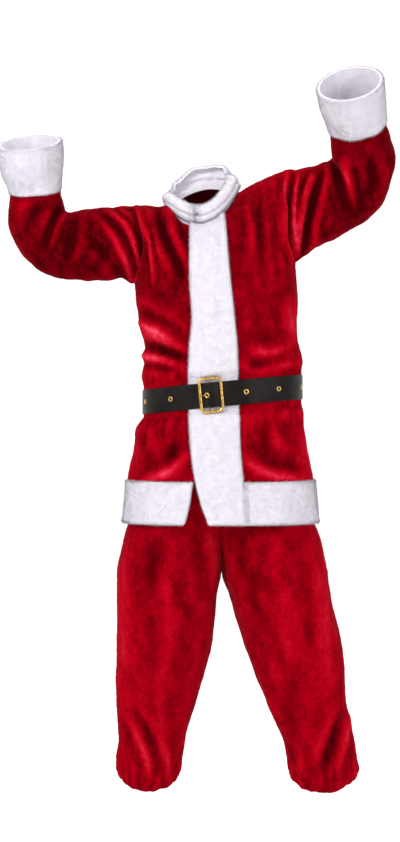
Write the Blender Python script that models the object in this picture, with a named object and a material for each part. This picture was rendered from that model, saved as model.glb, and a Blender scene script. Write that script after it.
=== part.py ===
"""A santa suit in the hollow form that it has when worn with both arms raised: a jacket of red
plush with white fleece trims, plush trousers with gathered hems, and a strap belt with a brass
centre-bar buckle. Metres, +Z up, the front faces -Y, and the origin is the middle of the neck.
"Right" and "left" are the wearer's, so the right side lies towards -X."""

import math

import bmesh
import bpy
import numpy as np
from mathutils import Matrix, Vector

RIGHT, LEFT = -1, 1
FRONT, BACK = -1, 1

# ---- driving sizes ------------------------------------------------------------------------
PLUSH = 0.003           # wall of the red plush
FLEECE = 0.005          # wall of the white fleece, which is sewn double
SEAM = 0.0003           # gap between pieces that are sewn edge to edge
LAP = 0.0012            # gap between the front band and the front that it laps over
LEAST_LAP = 0.018       # the least width of right front that the band covers
ROUNDNESS = 0.84        # power of the sines of a body section: under 1 is squarer than an ellipse

ARMPIT = -0.170         # height of the ring where the sleeves begin
YOKE = 0.170            # nominal height from that ring to the shoulder seam
HEM_TOP = -0.672        # upper edge of the white hem band
HEM = -0.772            # lower edge of the jacket
BELT_LOW, BELT_HIGH = -0.500, -0.434
SHOULDER_SHARE = 0.27   # share of a front's width that ends at the shoulder seam
ARMHOLE_SPREAD = 0.30   # share of a front's width over which the armhole bulge dies away
ARMHOLE_PULL = 0.016    # how far an armhole's sides are cut in towards the chest
SLEEVE_BLEND = 0.24     # share of a sleeve that leads from the armhole to an oval section
CUFF = 0.115            # length of a cuff along the arm
WAISTBAND = 0.040
LEG_CASING = 0.014
COLLAR_HEIGHT = 0.054
COLLAR_LOW = {RIGHT: 0.42, LEFT: 0.18}     # how much less its height is at either side, as shares
COLLAR_LEAN = 0.026     # how far its rim leans in on the left, where the neck presses it less
COLLAR_GAP = 0.0040     # from the neck seam to the collar, which stands inside it

# How many rows and columns of points the walls have.
SHOULDER_COLUMNS, CHEST_COLUMNS, BACK_COLUMNS = 5, 4, 9
YOKE_ROWS, SLEEVE_ROWS, TROUSER_COLUMNS = 10, 14, 10
CUFF_SHARES = (0.0, 0.33, 0.67, 1.0)

BELT_WIDTH = 0.058
STRAP = 0.002
STRAP_GAP = 0.0009      # between the strap and the cloth under it
BAND_LEAD, BAND_RAMP = 0.056, 0.048     # the strap rises this far before the band's edge, over that
TIP_X = 0.157           # where the strap's free end stops in front
TIP_SLANT = 0.007       # how much longer the free end's lower corner is
EYELET_PITCH = 0.0925
EYELET_BY_BUCKLE = -0.010   # the prong's eyelet from the centre bar
EYELET_HOLE, EYELET_TUBE, EYELET_RIM, EYELET_BACK = 0.0030, 0.0036, 0.0063, 0.0048   # radii
EYELET_GAP, EYELET_LOW, EYELET_HIGH = 0.0005, 0.0007, 0.0013    # heights off the strap's sides
EYELET_SIDES = 12
COVERED = 0.150         # the strap's length that the free end covers, which has no eyelet
BUCKLE_X = 0.0225
BUCKLE_WIDTH, BUCKLE_HEIGHT = 0.050, 0.078      # of the frame's centre line
BUCKLE_CORNER = 0.011
BUCKLE_BAR = 0.0034     # radius of the frame's bar
BUCKLE_FLATTEN = 0.6    # the bar's depth over its width
ON_BAND = PLUSH + LAP + FLEECE + STRAP_GAP      # the strap's inner side on the front band
FRAME_OUT = ON_BAND + 0.0071    # distances out from the jacket's inner face
CENTRE_BAR_OUT = ON_BAND + 0.0041
CENTRE_BAR_RADIUS = 0.0016
PRONG = 0.0010
SLOT_LENGTH, SLOT_WIDTH = 0.022, 0.0042


def table(columns, *rows):
    """A table of sizes as {column: values}, from the lowest row to the highest."""
    ordered = sorted(rows)
    return {name: np.array([row[i] for row in ordered]) for i, name in enumerate(columns.split())}


TORSO = table(
    "z      x_mid  half_width front  back   rise",
    (-0.772, 0.047, 0.229, 0.172, 0.162, 0.000),
    (-0.672, 0.045, 0.220, 0.166, 0.156, 0.000),
    (-0.600, 0.043, 0.206, 0.158, 0.149, 0.030),
    (-0.545, 0.044, 0.197, 0.152, 0.143, 0.066),
    (-0.518, 0.046, 0.191, 0.147, 0.137, 0.088),
    (-0.500, 0.050, 0.186, 0.143, 0.133, 0.098),
    (-0.434, 0.050, 0.186, 0.143, 0.133, 0.098),
    (-0.395, 0.049, 0.185, 0.151, 0.141, 0.100),
    (-0.345, 0.046, 0.181, 0.154, 0.144, 0.100),
    (-0.285, 0.040, 0.185, 0.154, 0.146, 0.105),
    (-0.225, 0.036, 0.187, 0.151, 0.146, 0.110),
    (-0.170, 0.034, 0.188, 0.147, 0.143, 0.110),
)

# Where the front edges run, as X at each height: the band's two edges and the right front's edge.
FRONT_LINES = table(
    "z       band_right band_left right_edge",
    (-0.772,  0.010, 0.101, -0.036),
    (-0.730,  0.000, 0.100, -0.028),
    (-0.672, -0.014, 0.097, -0.019),
    (-0.620, -0.022, 0.091, -0.004),
    (-0.560, -0.027, 0.088,  0.008),
    (-0.450, -0.030, 0.085,  0.008),
    (-0.360, -0.028, 0.082,  0.008),
    (-0.285, -0.022, 0.075,  0.012),
    (-0.200, -0.027, 0.066,  0.010),
    (-0.120, -0.028, 0.060,  0.008),
    ( 0.000, -0.031, 0.055,  0.005),
)

NECK = dict(x=0.002, y=-0.008, z=-0.001, half_width=0.088, front=0.072, back=0.062,
            rise=0.190, front_drop=0.075, back_lift=0.032)
SHOULDER_TIP = {RIGHT: Vector((-0.163, -0.002, -0.016)), LEFT: Vector((0.194, -0.002, 0.064))}
ARMHOLE_DEPTH = {RIGHT: 0.082, LEFT: 0.094}

# An arm runs straight from shoulder to elbow, round a bend, and straight to the cuff's end.
ARM = {
    RIGHT: dict(shoulder=(-0.160, 0.0, -0.104), elbow=(-0.384, -0.006, -0.113),
                end=(-0.405, -0.095, 0.123), bend=0.086),
    LEFT: dict(shoulder=(0.208, 0.0, -0.044), elbow=(0.400, 0.008, 0.044),
               end=(0.342, -0.165, 0.250), bend=0.086),
}
SLEEVE = {
    RIGHT: table("share up fore", (0.0, 0.084, 0.080), (0.20, 0.083, 0.078), (0.38, 0.081, 0.076),
                 (0.58, 0.076, 0.073), (0.78, 0.070, 0.068), (1.0, 0.061, 0.061)),
    LEFT: table("share up fore", (0.0, 0.106, 0.092), (0.20, 0.096, 0.085), (0.38, 0.087, 0.080),
                (0.58, 0.079, 0.075), (0.78, 0.071, 0.069), (1.0, 0.062, 0.062)),
}
CUFF_FLARE = table("share wider", (0.0, 0.0), (0.3, 0.003), (1.0, 0.008))

# Each side of the trousers, from the waist to the casing at the ankle. inner is the centre seam
# down to the crotch and the inseam below it; split says how far the section is a leg of its own.
CROTCH, CROTCH_X = -0.890, 0.0475
TROUSERS = {
    RIGHT: table(
        "z      outer   inner     front  back   split dip",
        (-0.505, -0.104, CROTCH_X, 0.112, 0.110, 0.00, 0.000),
        (-0.545, -0.116, CROTCH_X, 0.122, 0.120, 0.00, 0.000),
        (-0.600, -0.140, CROTCH_X, 0.136, 0.132, 0.00, 0.000),
        (-0.700, -0.159, CROTCH_X, 0.150, 0.144, 0.10, 0.000),
        (-0.772, -0.173, CROTCH_X, 0.155, 0.148, 0.40, 0.000),
        (-0.812, -0.186, CROTCH_X, 0.155, 0.150, 0.66, 0.000),
        (-0.850, -0.194, CROTCH_X, 0.152, 0.149, 0.87, 0.000),
        (-0.890, -0.200, CROTCH_X, 0.146, 0.146, 1.00, 0.000),
        (-0.960, -0.200, 0.035, 0.136, 0.138, 1.00, 0.000),
        (-1.080, -0.202, 0.016, 0.119, 0.123, 1.00, 0.000),
        (-1.200, -0.204, -0.015, 0.098, 0.104, 1.00, 0.000),
        (-1.290, -0.200, -0.043, 0.084, 0.090, 1.00, 0.004),
        (-1.340, -0.207, -0.052, 0.080, 0.084, 1.00, 0.012),
        (-1.362, -0.207, -0.053, 0.078, 0.081, 1.00, 0.018),
        (-1.376, -0.202, -0.058, 0.072, 0.074, 1.00, 0.020),
        (-1.386, -0.194, -0.065, 0.064, 0.066, 1.00, 0.020),
    ),
    LEFT: table(
        "z      outer   inner     front  back   split dip",
        (-0.505, 0.199, CROTCH_X, 0.112, 0.110, 0.00, 0.000),
        (-0.545, 0.211, CROTCH_X, 0.122, 0.120, 0.00, 0.000),
        (-0.600, 0.234, CROTCH_X, 0.136, 0.132, 0.00, 0.000),
        (-0.700, 0.253, CROTCH_X, 0.150, 0.144, 0.10, 0.000),
        (-0.772, 0.266, CROTCH_X, 0.155, 0.148, 0.40, 0.000),
        (-0.812, 0.283, CROTCH_X, 0.155, 0.150, 0.66, 0.000),
        (-0.850, 0.295, CROTCH_X, 0.152, 0.149, 0.87, 0.000),
        (-0.890, 0.303, CROTCH_X, 0.146, 0.146, 1.00, 0.000),
        (-0.960, 0.311, 0.069, 0.136, 0.138, 1.00, 0.000),
        (-1.080, 0.334, 0.109, 0.119, 0.123, 1.00, 0.000),
        (-1.200, 0.342, 0.152, 0.098, 0.104, 1.00, 0.000),
        (-1.290, 0.364, 0.195, 0.086, 0.090, 1.00, 0.004),
        (-1.340, 0.372, 0.205, 0.082, 0.085, 1.00, 0.012),
        (-1.362, 0.375, 0.208, 0.080, 0.082, 1.00, 0.018),
        (-1.376, 0.371, 0.212, 0.073, 0.075, 1.00, 0.020),
        (-1.386, 0.363, 0.219, 0.065, 0.067, 1.00, 0.020),
    ),
}

# The collar's section, from the neck seam to the rolled rim: share of its height, and how far it
# stands out from the neck seam.
COLLAR = table("share out", (0.0, 0.0), (0.26, 0.0), (0.44, 0.009), (0.60, 0.006),
               (0.76, 0.010), (0.93, 0.004), (1.0, -0.006))

# How far the strap's outer turn stands off its inner one, by its place left of the centre bar.
OUTER_TURN = table("u off", (-0.060, 0.0), (-0.040, 0.0001), (-0.024, 0.0014), (-0.018, 0.0034),
                   (-0.010, 0.0062), (-0.004, 0.0082), (0.000, 0.0087), (0.004, 0.0086),
                   (0.013, 0.0058), (0.021, 0.0028), (0.030, 0.0026), (0.045, 0.0033), (0.060, 0.0033))

# The prong's middle line out from ON_BAND, from its tip on the frame to the hook round the bar.
PRONG_LINE = table("u out", (-0.0295, 0.0105), (-0.0240, 0.0106), (-0.0165, 0.0104),
                   (-0.0125, 0.0099), (-0.0085, 0.0062), (-0.0055, 0.0050))

RED = dict(color=(0.40, 0.004, 0.012, 1), roughness=0.85, metallic=0.0)
WHITE = dict(color=(0.86, 0.85, 0.88, 1), roughness=0.9, metallic=0.0)
BLACK = dict(color=(0.018, 0.017, 0.018, 1), roughness=0.42, metallic=0.0)
BRASS = dict(color=(0.72, 0.50, 0.20, 1), roughness=0.28, metallic=1.0)


# ---- tables and lines ---------------------------------------------------------------------
def read(sizes, column, at):
    """A column of a table at the places at, on a smooth line that never overshoots its rows."""
    x, y = next(iter(sizes.values())), sizes[column]
    step = np.diff(x)
    slope = np.diff(y) / step
    turn = slope[:-1] * slope[1:]
    weight = np.where(turn > 0, 2 * turn / np.where(turn > 0, slope[:-1] + slope[1:], 1), 0)
    tangent = np.concatenate([[slope[0]], weight, [slope[-1]]])
    at = np.clip(at, x[0], x[-1])
    i = np.clip(np.searchsorted(x, at) - 1, 0, len(step) - 1)
    t = (at - x[i]) / step[i]
    ends = y[i] * (1 + 2 * t) * (1 - t) ** 2 + y[i + 1] * t * t * (3 - 2 * t)
    return ends + step[i] * t * (1 - t) * (tangent[i] * (1 - t) - tangent[i + 1] * t)


def eased(t):
    t = np.clip(t, 0, 1)
    return t * t * (3 - 2 * t)


def mixed(a, b, share):
    return a + (b - a) * share


def stacked(x, y, z):
    return np.stack(np.broadcast_arrays(x, y, z), axis=-1)


# ---- the jacket's body --------------------------------------------------------------------
def ring(face, s, z):
    """A point of the body below the armpits. s runs from the right side seam, 0, to the left, 1."""
    x_mid = read(TORSO, "x_mid", z)
    cosine, sine = np.cos(math.pi * s), np.sin(math.pi * s)
    across = -np.sign(cosine) * np.abs(cosine) ** ROUNDNESS * read(TORSO, "half_width", z)
    depth = read(TORSO, "front" if face == FRONT else "back", z)
    y = face * depth * np.clip(sine, 0, 1) ** ROUNDNESS
    return stacked(x_mid + across, y, z + read(TORSO, "rise", z) * across)


def neckline(face, turn):
    """The neck seam, from the right neck point, turn 0, over the front or the back to the left."""
    angle = math.pi * turn
    across = -NECK["half_width"] * np.cos(angle)
    deep = np.sin(angle)
    y = NECK["y"] + face * deep * (NECK["front"] if face == FRONT else NECK["back"])
    fall = -NECK["front_drop"] if face == FRONT else NECK["back_lift"]
    return stacked(NECK["x"] + across, y, NECK["z"] + NECK["rise"] * across + fall * deep ** 2)


def top_edge(face, s):
    """The upper edge of a front or the back: shoulder seam, neckline, shoulder seam."""
    s = np.asarray(s, float)[..., None]
    share = SHOULDER_SHARE
    neck = neckline(face, np.clip((s[..., 0] - share) / (1 - 2 * share), 0, 1))
    right = mixed(np.array(SHOULDER_TIP[RIGHT]), neckline(face, 0.0), np.clip(s / share, 0, 1))
    left = mixed(neckline(face, 1.0), np.array(SHOULDER_TIP[LEFT]),
                 np.clip((s - 1 + share) / share, 0, 1))
    return np.where(s < share, right, np.where(s > 1 - share, left, neck))


def body(face, s, h):
    """A point of the jacket's body. Above the armpits h is a nominal height, which reaches the
    shoulder seam and the neckline at ARMPIT + YOKE."""
    s, h = np.broadcast_arrays(np.asarray(s, float), np.asarray(h, float))
    low = ring(face, s, np.minimum(h, ARMPIT))
    high = top_edge(face, s)
    up = np.clip((h - ARMPIT) / YOKE, 0, 1)
    edge = 1 - eased(np.minimum(s, 1 - s) / ARMHOLE_SPREAD)
    depth = np.where(s < 0.5, ARMHOLE_DEPTH[RIGHT], ARMHOLE_DEPTH[LEFT])
    bulge = edge * np.sin(math.pi * up)
    inward = np.where(s < 0.5, 1.0, -1.0) * ARMHOLE_PULL * bulge
    armhole_climb = mixed(up, (1 - np.cos(math.pi * up)) / 2, 0.4 + 0.6 * up)
    climb = mixed(np.sin(up * math.pi / 2), armhole_climb, edge)
    x = mixed(low[..., 0], high[..., 0], up) + inward
    y = mixed(high[..., 1], low[..., 1], np.cos(up * math.pi / 2)) + face * depth * bulge
    return stacked(x, y, mixed(low[..., 2], high[..., 2], climb))


def s_at(x, h):
    """Where the front reaches a given X at the nominal height h."""
    tries = np.linspace(0.02, 0.98, 385)
    return float(np.interp(x, body(FRONT, tries, h)[:, 0], tries))


# ---- sleeves ------------------------------------------------------------------------------
def arm_line(side):
    """(length, function of the distance from the shoulder that gives the arm line's place, its
    direction and the direction to the inside of the bend)."""
    arm = ARM[side]
    shoulder, elbow, end = (np.array(arm[k]) for k in ("shoulder", "elbow", "end"))
    d1 = (elbow - shoulder) / np.linalg.norm(elbow - shoulder)
    d2 = (end - elbow) / np.linalg.norm(end - elbow)
    turn = math.acos(d1 @ d2)
    inside = d2 - (d2 @ d1) * d1
    inside /= np.linalg.norm(inside)
    cut = arm["bend"] * math.tan(turn / 2)
    first = np.linalg.norm(elbow - shoulder) - cut
    second = np.linalg.norm(end - elbow) - cut
    arc = arm["bend"] * turn

    def at(distance):
        angle = min(max((distance - first) / arm["bend"], 0), turn)
        start = shoulder + d1 * min(distance, first)
        direction = d1 * math.cos(angle) + inside * math.sin(angle)
        across = inside * math.cos(angle) - d1 * math.sin(angle)
        bent = arm["bend"] * (d1 * math.sin(angle) + inside * (1 - math.cos(angle)))
        return start + bent + d2 * max(distance - first - arc, 0), direction, across

    return first + arc + second, at


def armhole(side, psi):
    """The armhole's loop: psi 0 at the armpit, rising over the front to the shoulder at pi."""
    s = 0.0 if side == RIGHT else 1.0
    rising = np.where(psi <= math.pi, psi, 2 * math.pi - psi) / math.pi
    h = ARMPIT + YOKE * rising
    return np.where((psi <= math.pi)[..., None], body(FRONT, s, h), body(BACK, s, h))


def oval(side, distance, psi, up, fore):
    """A section across the arm line, as points at the angles psi."""
    _, at = arm_line(side)
    centre, direction, inside = at(distance)
    forward = np.cross(direction, inside) * side
    return centre + np.outer(-np.cos(psi) * up, inside) + np.outer(np.sin(psi) * fore, forward)


def sleeve_ring(side, share, psi):
    length, at = arm_line(side)
    distance = share * (length - CUFF)
    sizes = [read(SLEEVE[side], column, share) for column in ("up", "fore")]
    round_ring = oval(side, distance, psi, *sizes)
    carried = armhole(side, psi) + (at(distance)[0] - at(0)[0])
    return mixed(carried, round_ring, eased(share / SLEEVE_BLEND))


def cuff_ring(side, share, psi):
    length, _ = arm_line(side)
    wider = read(CUFF_FLARE, "wider", share)
    sizes = [read(SLEEVE[side], column, 1.0) + wider for column in ("up", "fore")]
    return oval(side, length - CUFF * (1 - share), psi, *sizes)


# ---- trousers -----------------------------------------------------------------------------
def trouser_point(side, face, s, z):
    """s runs from the side seam, 0, to the centre seam or the inseam, 1."""
    sizes = TROUSERS[side]
    outer, inner, split, dip = (read(sizes, k, z) for k in ("outer", "inner", "split", "dip"))
    depth = read(sizes, "front" if face == FRONT else "back", z)
    quarter, half = s * math.pi / 2, s * math.pi
    hip_x = mixed(inner, outer, np.clip(np.cos(quarter), 0, 1) ** ROUNDNESS)
    hip_y = np.sin(quarter) ** ROUNDNESS
    leg_x = mixed(inner, outer, (1 + np.cos(half)) / 2)
    leg_y = np.sin(half)
    fall = dip * leg_y ** 2 * (0.6 + 0.8 * s) * (1.0 if face == FRONT else 0.3)
    return stacked(mixed(hip_x, leg_x, split), face * depth * mixed(hip_y, leg_y, split), z - fall)


# ---- walls --------------------------------------------------------------------------------
class Panel:
    """One cut piece: a grid of points on the garment's inner face, round when it is a tube."""

    def __init__(self, points, inside, is_round=False):
        self.points = np.asarray(points, float)
        self.inside = np.asarray(inside, float)
        self.is_round = is_round

    def next_column(self, grid):
        return np.roll(grid, -1, axis=1) if self.is_round else grid[:, 1:]

    def face_normals(self):
        """Each face's normal times its area, pointing away from the hollow."""
        grid, beside = self.points, self.next_column(self.points)
        width = beside.shape[1]
        one = beside[1:] - grid[:-1, :width]
        other = grid[1:, :width] - beside[:-1]
        normals = np.cross(one, other)
        middle = (grid[:-1, :width] + beside[1:]) / 2
        outward = ((middle - self.inside) * normals).sum()
        return normals if outward > 0 else -normals


RIM_ORDER = np.array([1.0, 1.37, 1.73])     # a slanted line that no seam runs square to


def place(point):
    return tuple(np.round(point, 5) + 0.0)


def shared_normals(panels):
    """{place: unit normal}, worked out over all the panels, so that walls meet flush at seams."""
    total = {}
    for panel in panels:
        faces = panel.face_normals()
        rows, columns = faces.shape[:2]
        width = panel.points.shape[1]
        for i in range(rows):
            for j in range(columns):
                for a, b in ((i, j), (i + 1, j), (i, (j + 1) % width), (i + 1, (j + 1) % width)):
                    key = place(panel.points[a, b])
                    total[key] = total.get(key, 0) + faces[i, j]
    return {key: normal / np.linalg.norm(normal) for key, normal in total.items()}


def seam_cut(points, is_round):
    """The grid with its edges drawn back by half a seam gap."""
    cut = points.copy()
    sides = [(0, 1, 0), (-1, -2, 0)] + ([] if is_round else [(0, 1, 1), (-1, -2, 1)])
    for edge, beside, axis in sides:
        here, there = np.take(cut, edge, axis=axis), np.take(cut, beside, axis=axis)
        way = there - here
        way /= np.linalg.norm(way, axis=-1, keepdims=True)
        index = [slice(None), slice(None)]
        index[axis] = edge
        cut[tuple(index)] = here + way * SEAM / 2
    return cut


def wall(name, panel, normals, thickness, material, standoff=0.0):
    """The panel as a closed wall of the given thickness, moved out by standoff."""
    out = np.array([[normals[place(p)] for p in row] for row in panel.points])
    base = seam_cut(panel.points, panel.is_round)
    layers = [base + out * standoff, base + out * (standoff + thickness)]
    rows, columns = base.shape[:2]
    spans = columns if panel.is_round else columns - 1

    def index(layer, i, j):
        return (layer * rows + i) * columns + j % columns

    faces = []
    for i in range(rows - 1):
        for j in range(spans):
            corners = [(i, j), (i, j + 1), (i + 1, j + 1), (i + 1, j)]
            faces += [[index(1, *c) for c in corners], [index(0, *c) for c in reversed(corners)]]
    rims = [((0, j), (0, j + 1)) for j in range(spans)]
    rims += [((rows - 1, j), (rows - 1, j + 1)) for j in range(spans)]
    if not panel.is_round:
        rims += [((i, j), (i + 1, j)) for i in range(rows - 1) for j in (0, columns - 1)]
    for ends in rims:
        # Both pieces at a seam split a rim's faces the same way, so that these don't cross.
        a, b = sorted(ends, key=lambda c: float(panel.points[c[0], c[1] % columns] @ RIM_ORDER))
        faces.append([index(0, *a), index(0, *b), index(1, *b)])
        faces.append([index(0, *a), index(1, *b), index(1, *a)])
    mesh = bpy.data.meshes.new(name)
    mesh.from_pydata(np.concatenate([layer.reshape(-1, 3) for layer in layers]), [], faces)
    work = bmesh.new()
    work.from_mesh(mesh)
    bmesh.ops.recalc_face_normals(work, faces=work.faces)
    work.to_mesh(mesh)
    work.free()
    mesh.shade_smooth()
    mesh.set_sharp_from_angle(angle=math.radians(50))
    return add_object(name, mesh, material)


# ---- scene --------------------------------------------------------------------------------
def clear_scene():
    for thing in list(bpy.data.objects):
        bpy.data.objects.remove(thing)


def new_collection(name, hidden=False):
    made = bpy.data.collections.new(name)
    made.hide_render = hidden
    bpy.context.scene.collection.children.link(made)
    return made


def new_material(name, color, roughness, metallic):
    made = bpy.data.materials.new(name)
    made.use_nodes = True
    shader = made.node_tree.nodes["Principled BSDF"]
    shader.inputs["Base Color"].default_value = color
    shader.inputs["Roughness"].default_value = roughness
    shader.inputs["Metallic"].default_value = metallic
    made.diffuse_color = color
    return made


def add_object(name, data, material, parent=None):
    data.materials.append(material)
    made = bpy.data.objects.new(name, data)
    made.parent = parent
    SUIT.objects.link(made)
    return made


# ---- jacket -------------------------------------------------------------------------------
def jacket_rows():
    """Nominal heights: through the hem band, the skirt, the belt, the chest and the yoke."""
    hem = [HEM, (HEM + HEM_TOP) / 2, HEM_TOP]
    skirt = [-0.625, -0.580, -0.540, BELT_LOW, BELT_HIGH, -0.395, -0.345, -0.285, -0.225, ARMPIT]
    yoke = list(ARMPIT + YOKE * np.linspace(0, 1, YOKE_ROWS)[1:])
    return hem, [HEM_TOP] + skirt + yoke


def line_at(column, h):
    """A line of the front at a height; near the neck the lines keep their last X."""
    return float(read(FRONT_LINES, column, h))


def front_columns(h):
    """The front's columns at one height, as s: the right front's, the band's, the left front's."""
    fixed = np.linspace(0, SHOULDER_SHARE, SHOULDER_COLUMNS)
    band_right, band_left, edge = (line_at(k, h) for k in ("band_right", "band_left", "right_edge"))
    under = s_at(min(band_right, edge - LEAST_LAP), h)
    right = [*fixed, *np.linspace(fixed[-1], under, CHEST_COLUMNS)[1:], s_at(edge, h)]
    cover = s_at(max(edge, band_right + LEAST_LAP), h)
    seam = s_at(band_left, h)
    band = [s_at(band_right, h), cover, (cover + seam) / 2, seam]
    left = [*np.linspace(seam, 1 - fixed[-1], CHEST_COLUMNS)[:-1], *(1 - fixed[::-1])]
    return dict(right=right, band=band, left=left, filler=[right[-1], *band[2:]])


def front_grid(part, rows):
    return [body(FRONT, np.array(front_columns(h)[part]), h) for h in rows]


def back_columns():
    fixed = np.linspace(0, SHOULDER_SHARE, SHOULDER_COLUMNS)
    middle = np.linspace(fixed[-1], 1 - fixed[-1], BACK_COLUMNS)[1:-1]
    return np.concatenate([fixed, middle, 1 - fixed[::-1]])


def hem_grid(rows):
    """The hem band, from the right front's edge round the back to the front band's seam."""
    grid = []
    for h in rows:
        columns = front_columns(h)
        right = body(FRONT, np.array(columns["right"])[::-1], h)
        left = body(FRONT, np.array(columns["left"])[::-1], h)
        grid.append(np.concatenate([right, body(BACK, back_columns(), h)[1:-1], left]))
    return grid


def add_jacket(red, white):
    hem_rows, rows = jacket_rows()
    middle = (TORSO["x_mid"].mean(), 0.0, -0.40)
    right = Panel(front_grid("right", rows), middle)
    left = Panel(front_grid("left", rows), middle)
    filler = Panel(front_grid("filler", hem_rows[:-1] + rows), middle)
    back = Panel([body(BACK, back_columns(), h) for h in rows], middle)
    hem = Panel(hem_grid(hem_rows), (middle[0], 0.0, HEM))
    band = Panel(front_grid("band", hem_rows[:-1] + rows), middle)
    psi = np.linspace(0, 2 * math.pi, 2 * YOKE_ROWS - 1)[:-1]
    sleeves, cuffs = {}, {}
    for side, word in ((RIGHT, "right"), (LEFT, "left")):
        rings = [sleeve_ring(side, share, psi) for share in np.linspace(0, 1, SLEEVE_ROWS)]
        inside = np.mean(rings[SLEEVE_ROWS // 2 - 1:SLEEVE_ROWS // 2 + 1], axis=(0, 1))
        sleeves["sleeve_" + word] = Panel(rings, inside, is_round=True)
        rings = [cuff_ring(side, share, psi) for share in CUFF_SHARES]
        cuffs["cuff_" + word] = Panel(rings, np.mean(rings, axis=(0, 1)), is_round=True)
    plush = {"jacket_front_right": right, "jacket_front_left": left, "jacket_back": back, **sleeves}
    fleece = {"hem_band": hem, **cuffs}
    normals = shared_normals([*plush.values(), *fleece.values(), filler])
    normals |= {key: value for key, value in shared_normals([band]).items() if key not in normals}
    for name, panel in plush.items():
        wall(name, panel, normals, PLUSH, red)
    for name, panel in fleece.items():
        wall(name, panel, normals, FLEECE, white)
    wall("front_band", band, normals, FLEECE, white, standoff=PLUSH + LAP)


def add_collar(white):
    """A strip that stands inside the neck seam, with its two ends at the band's free edge."""
    top = ARMPIT + YOKE
    columns = front_columns(top)
    share = SHOULDER_SHARE
    over_band = columns["band"] + [s for s in columns["left"][1:] if s <= 1 - share + 1e-9]
    to_band = [s for s in columns["right"][:-1] if s >= share - 1e-9]
    back = [s for s in back_columns()[::-1] if share + 1e-9 < s < 1 - share - 1e-9]
    loop = np.concatenate([body(FRONT, np.array(over_band), top), body(BACK, np.array(back), top),
                           body(FRONT, np.array(to_band), top)])
    axis = np.array([NECK["x"], NECK["y"], 0.0])
    along = np.gradient(loop, axis=0)
    square = np.cross(along, [0.0, 0.0, 1.0])
    square *= np.sign(((loop - axis) * square).sum(axis=1, keepdims=True))
    square /= np.linalg.norm(square, axis=1, keepdims=True)
    to_side = {side: np.clip(square[:, 0] * side, 0, 1) ** 2 for side in (RIGHT, LEFT)}
    height = COLLAR_HEIGHT * (1 - sum(COLLAR_LOW[side] * to_side[side] for side in (RIGHT, LEFT)))
    grid = []
    for share_up, out in zip(COLLAR["share"], COLLAR["out"]):
        lean = COLLAR_LEAN * to_side[LEFT] * max(share_up - COLLAR["share"][1], 0)
        row = loop + square * (out - COLLAR_GAP - FLEECE - lean)[:, None]
        row[:, 2] += height * share_up - 0.002
        grid.append(row)
    collar = Panel(grid, axis + [0, 0, 0.03])
    collar.points[:, -1] += (collar.points[:, -2] - collar.points[:, -1]) * 0.05
    wall("collar", collar, shared_normals([collar]), FLEECE, white)


# ---- trousers -----------------------------------------------------------------------------
def add_trousers(red):
    waist = TROUSERS[RIGHT]["z"].max()
    ankle = TROUSERS[RIGHT]["z"].min() + LEG_CASING
    rows = [waist - WAISTBAND, -0.600, -0.650, -0.700, -0.740, -0.772, -0.812, -0.850, CROTCH,
            -0.930, -0.985, -1.050, -1.120, -1.190, -1.250, -1.300, -1.345, ankle]
    s = np.linspace(0, 1, TROUSER_COLUMNS)
    panels = {}
    for side, side_word in ((RIGHT, "right"), (LEFT, "left")):
        middle = (read(TROUSERS[side], "outer", CROTCH) / 2 + CROTCH_X / 2, 0.0, CROTCH)
        for face, face_word in ((FRONT, "front"), (BACK, "back")):
            grid = [trouser_point(side, face, s, z) for z in rows]
            panels[f"trouser_{face_word}_{side_word}"] = Panel(grid, middle)

    def loop(side, z):
        return [trouser_point(side, face, s, z) for face in (FRONT, BACK)]

    bands = {}
    for side, word in ((RIGHT, "right"), (LEFT, "left")):
        rings = []
        for z in (ankle, ankle - LEG_CASING):
            front, back = loop(side, z)
            rings.append(np.concatenate([front, back[-2:0:-1]]))
        bands["leg_casing_" + word] = Panel(rings, np.mean(rings, axis=(0, 1)), is_round=True)
    rings = []
    for z in (waist, waist - WAISTBAND):
        (front_r, back_r), (front_l, back_l) = loop(RIGHT, z), loop(LEFT, z)
        rings.append(np.concatenate([front_r, front_l[-2::-1], back_l[1:], back_r[-2:0:-1]]))
    bands["waistband"] = Panel(rings, np.mean(rings, axis=(0, 1)), is_round=True)
    everything = {**panels, **bands}
    normals = shared_normals(everything.values())
    for name, panel in everything.items():
        wall(name, panel, normals, PLUSH, red)


# ---- belt ---------------------------------------------------------------------------------
def belt_base(angle):
    """The belt's path on the jacket's inner face, at an angle in degrees from the front's middle
    towards the left side: the point, and the directions outward, along and up the strap."""
    h = (BELT_LOW + BELT_HIGH) / 2

    def at(degrees, height=h):
        degrees = (degrees + 180) % 360 - 180
        if abs(degrees) <= 90:
            return Vector(ring(FRONT, np.array(0.5 + degrees / 180), height))
        return Vector(ring(BACK, np.array((1.5 - degrees / 180) % 2), height))

    along = (at(angle + 0.5) - at(angle - 0.5)).normalized()
    rising = at(angle, h + 0.01) - at(angle, h - 0.01)
    outward = along.cross(rising).normalized()
    return at(angle), outward, along, outward.cross(along)


def angle_at(x):
    """The angle at which the belt's path reaches a given X in front."""
    tries = np.linspace(-80, 80, 321)
    return float(np.interp(x, [belt_base(a)[0].x for a in tries], tries))


def strap_out(angle, outer_turn):
    """How far the strap's inner side stands off the jacket's inner face."""
    point = belt_base(angle)[0]
    low, high = (line_at(column, BELT_LOW) for column in ("band_right", "band_left"))
    rise = eased((point.x - low + BAND_LEAD) / BAND_RAMP)
    on_band = rise * eased((high + BAND_LEAD - point.x) / BAND_RAMP)
    out = PLUSH + STRAP_GAP + (LAP + FLEECE) * float(on_band if point.y < 0 else 0)
    return out + (float(read(OUTER_TURN, "off", point.x - BUCKLE_X)) if outer_turn else 0)


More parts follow.
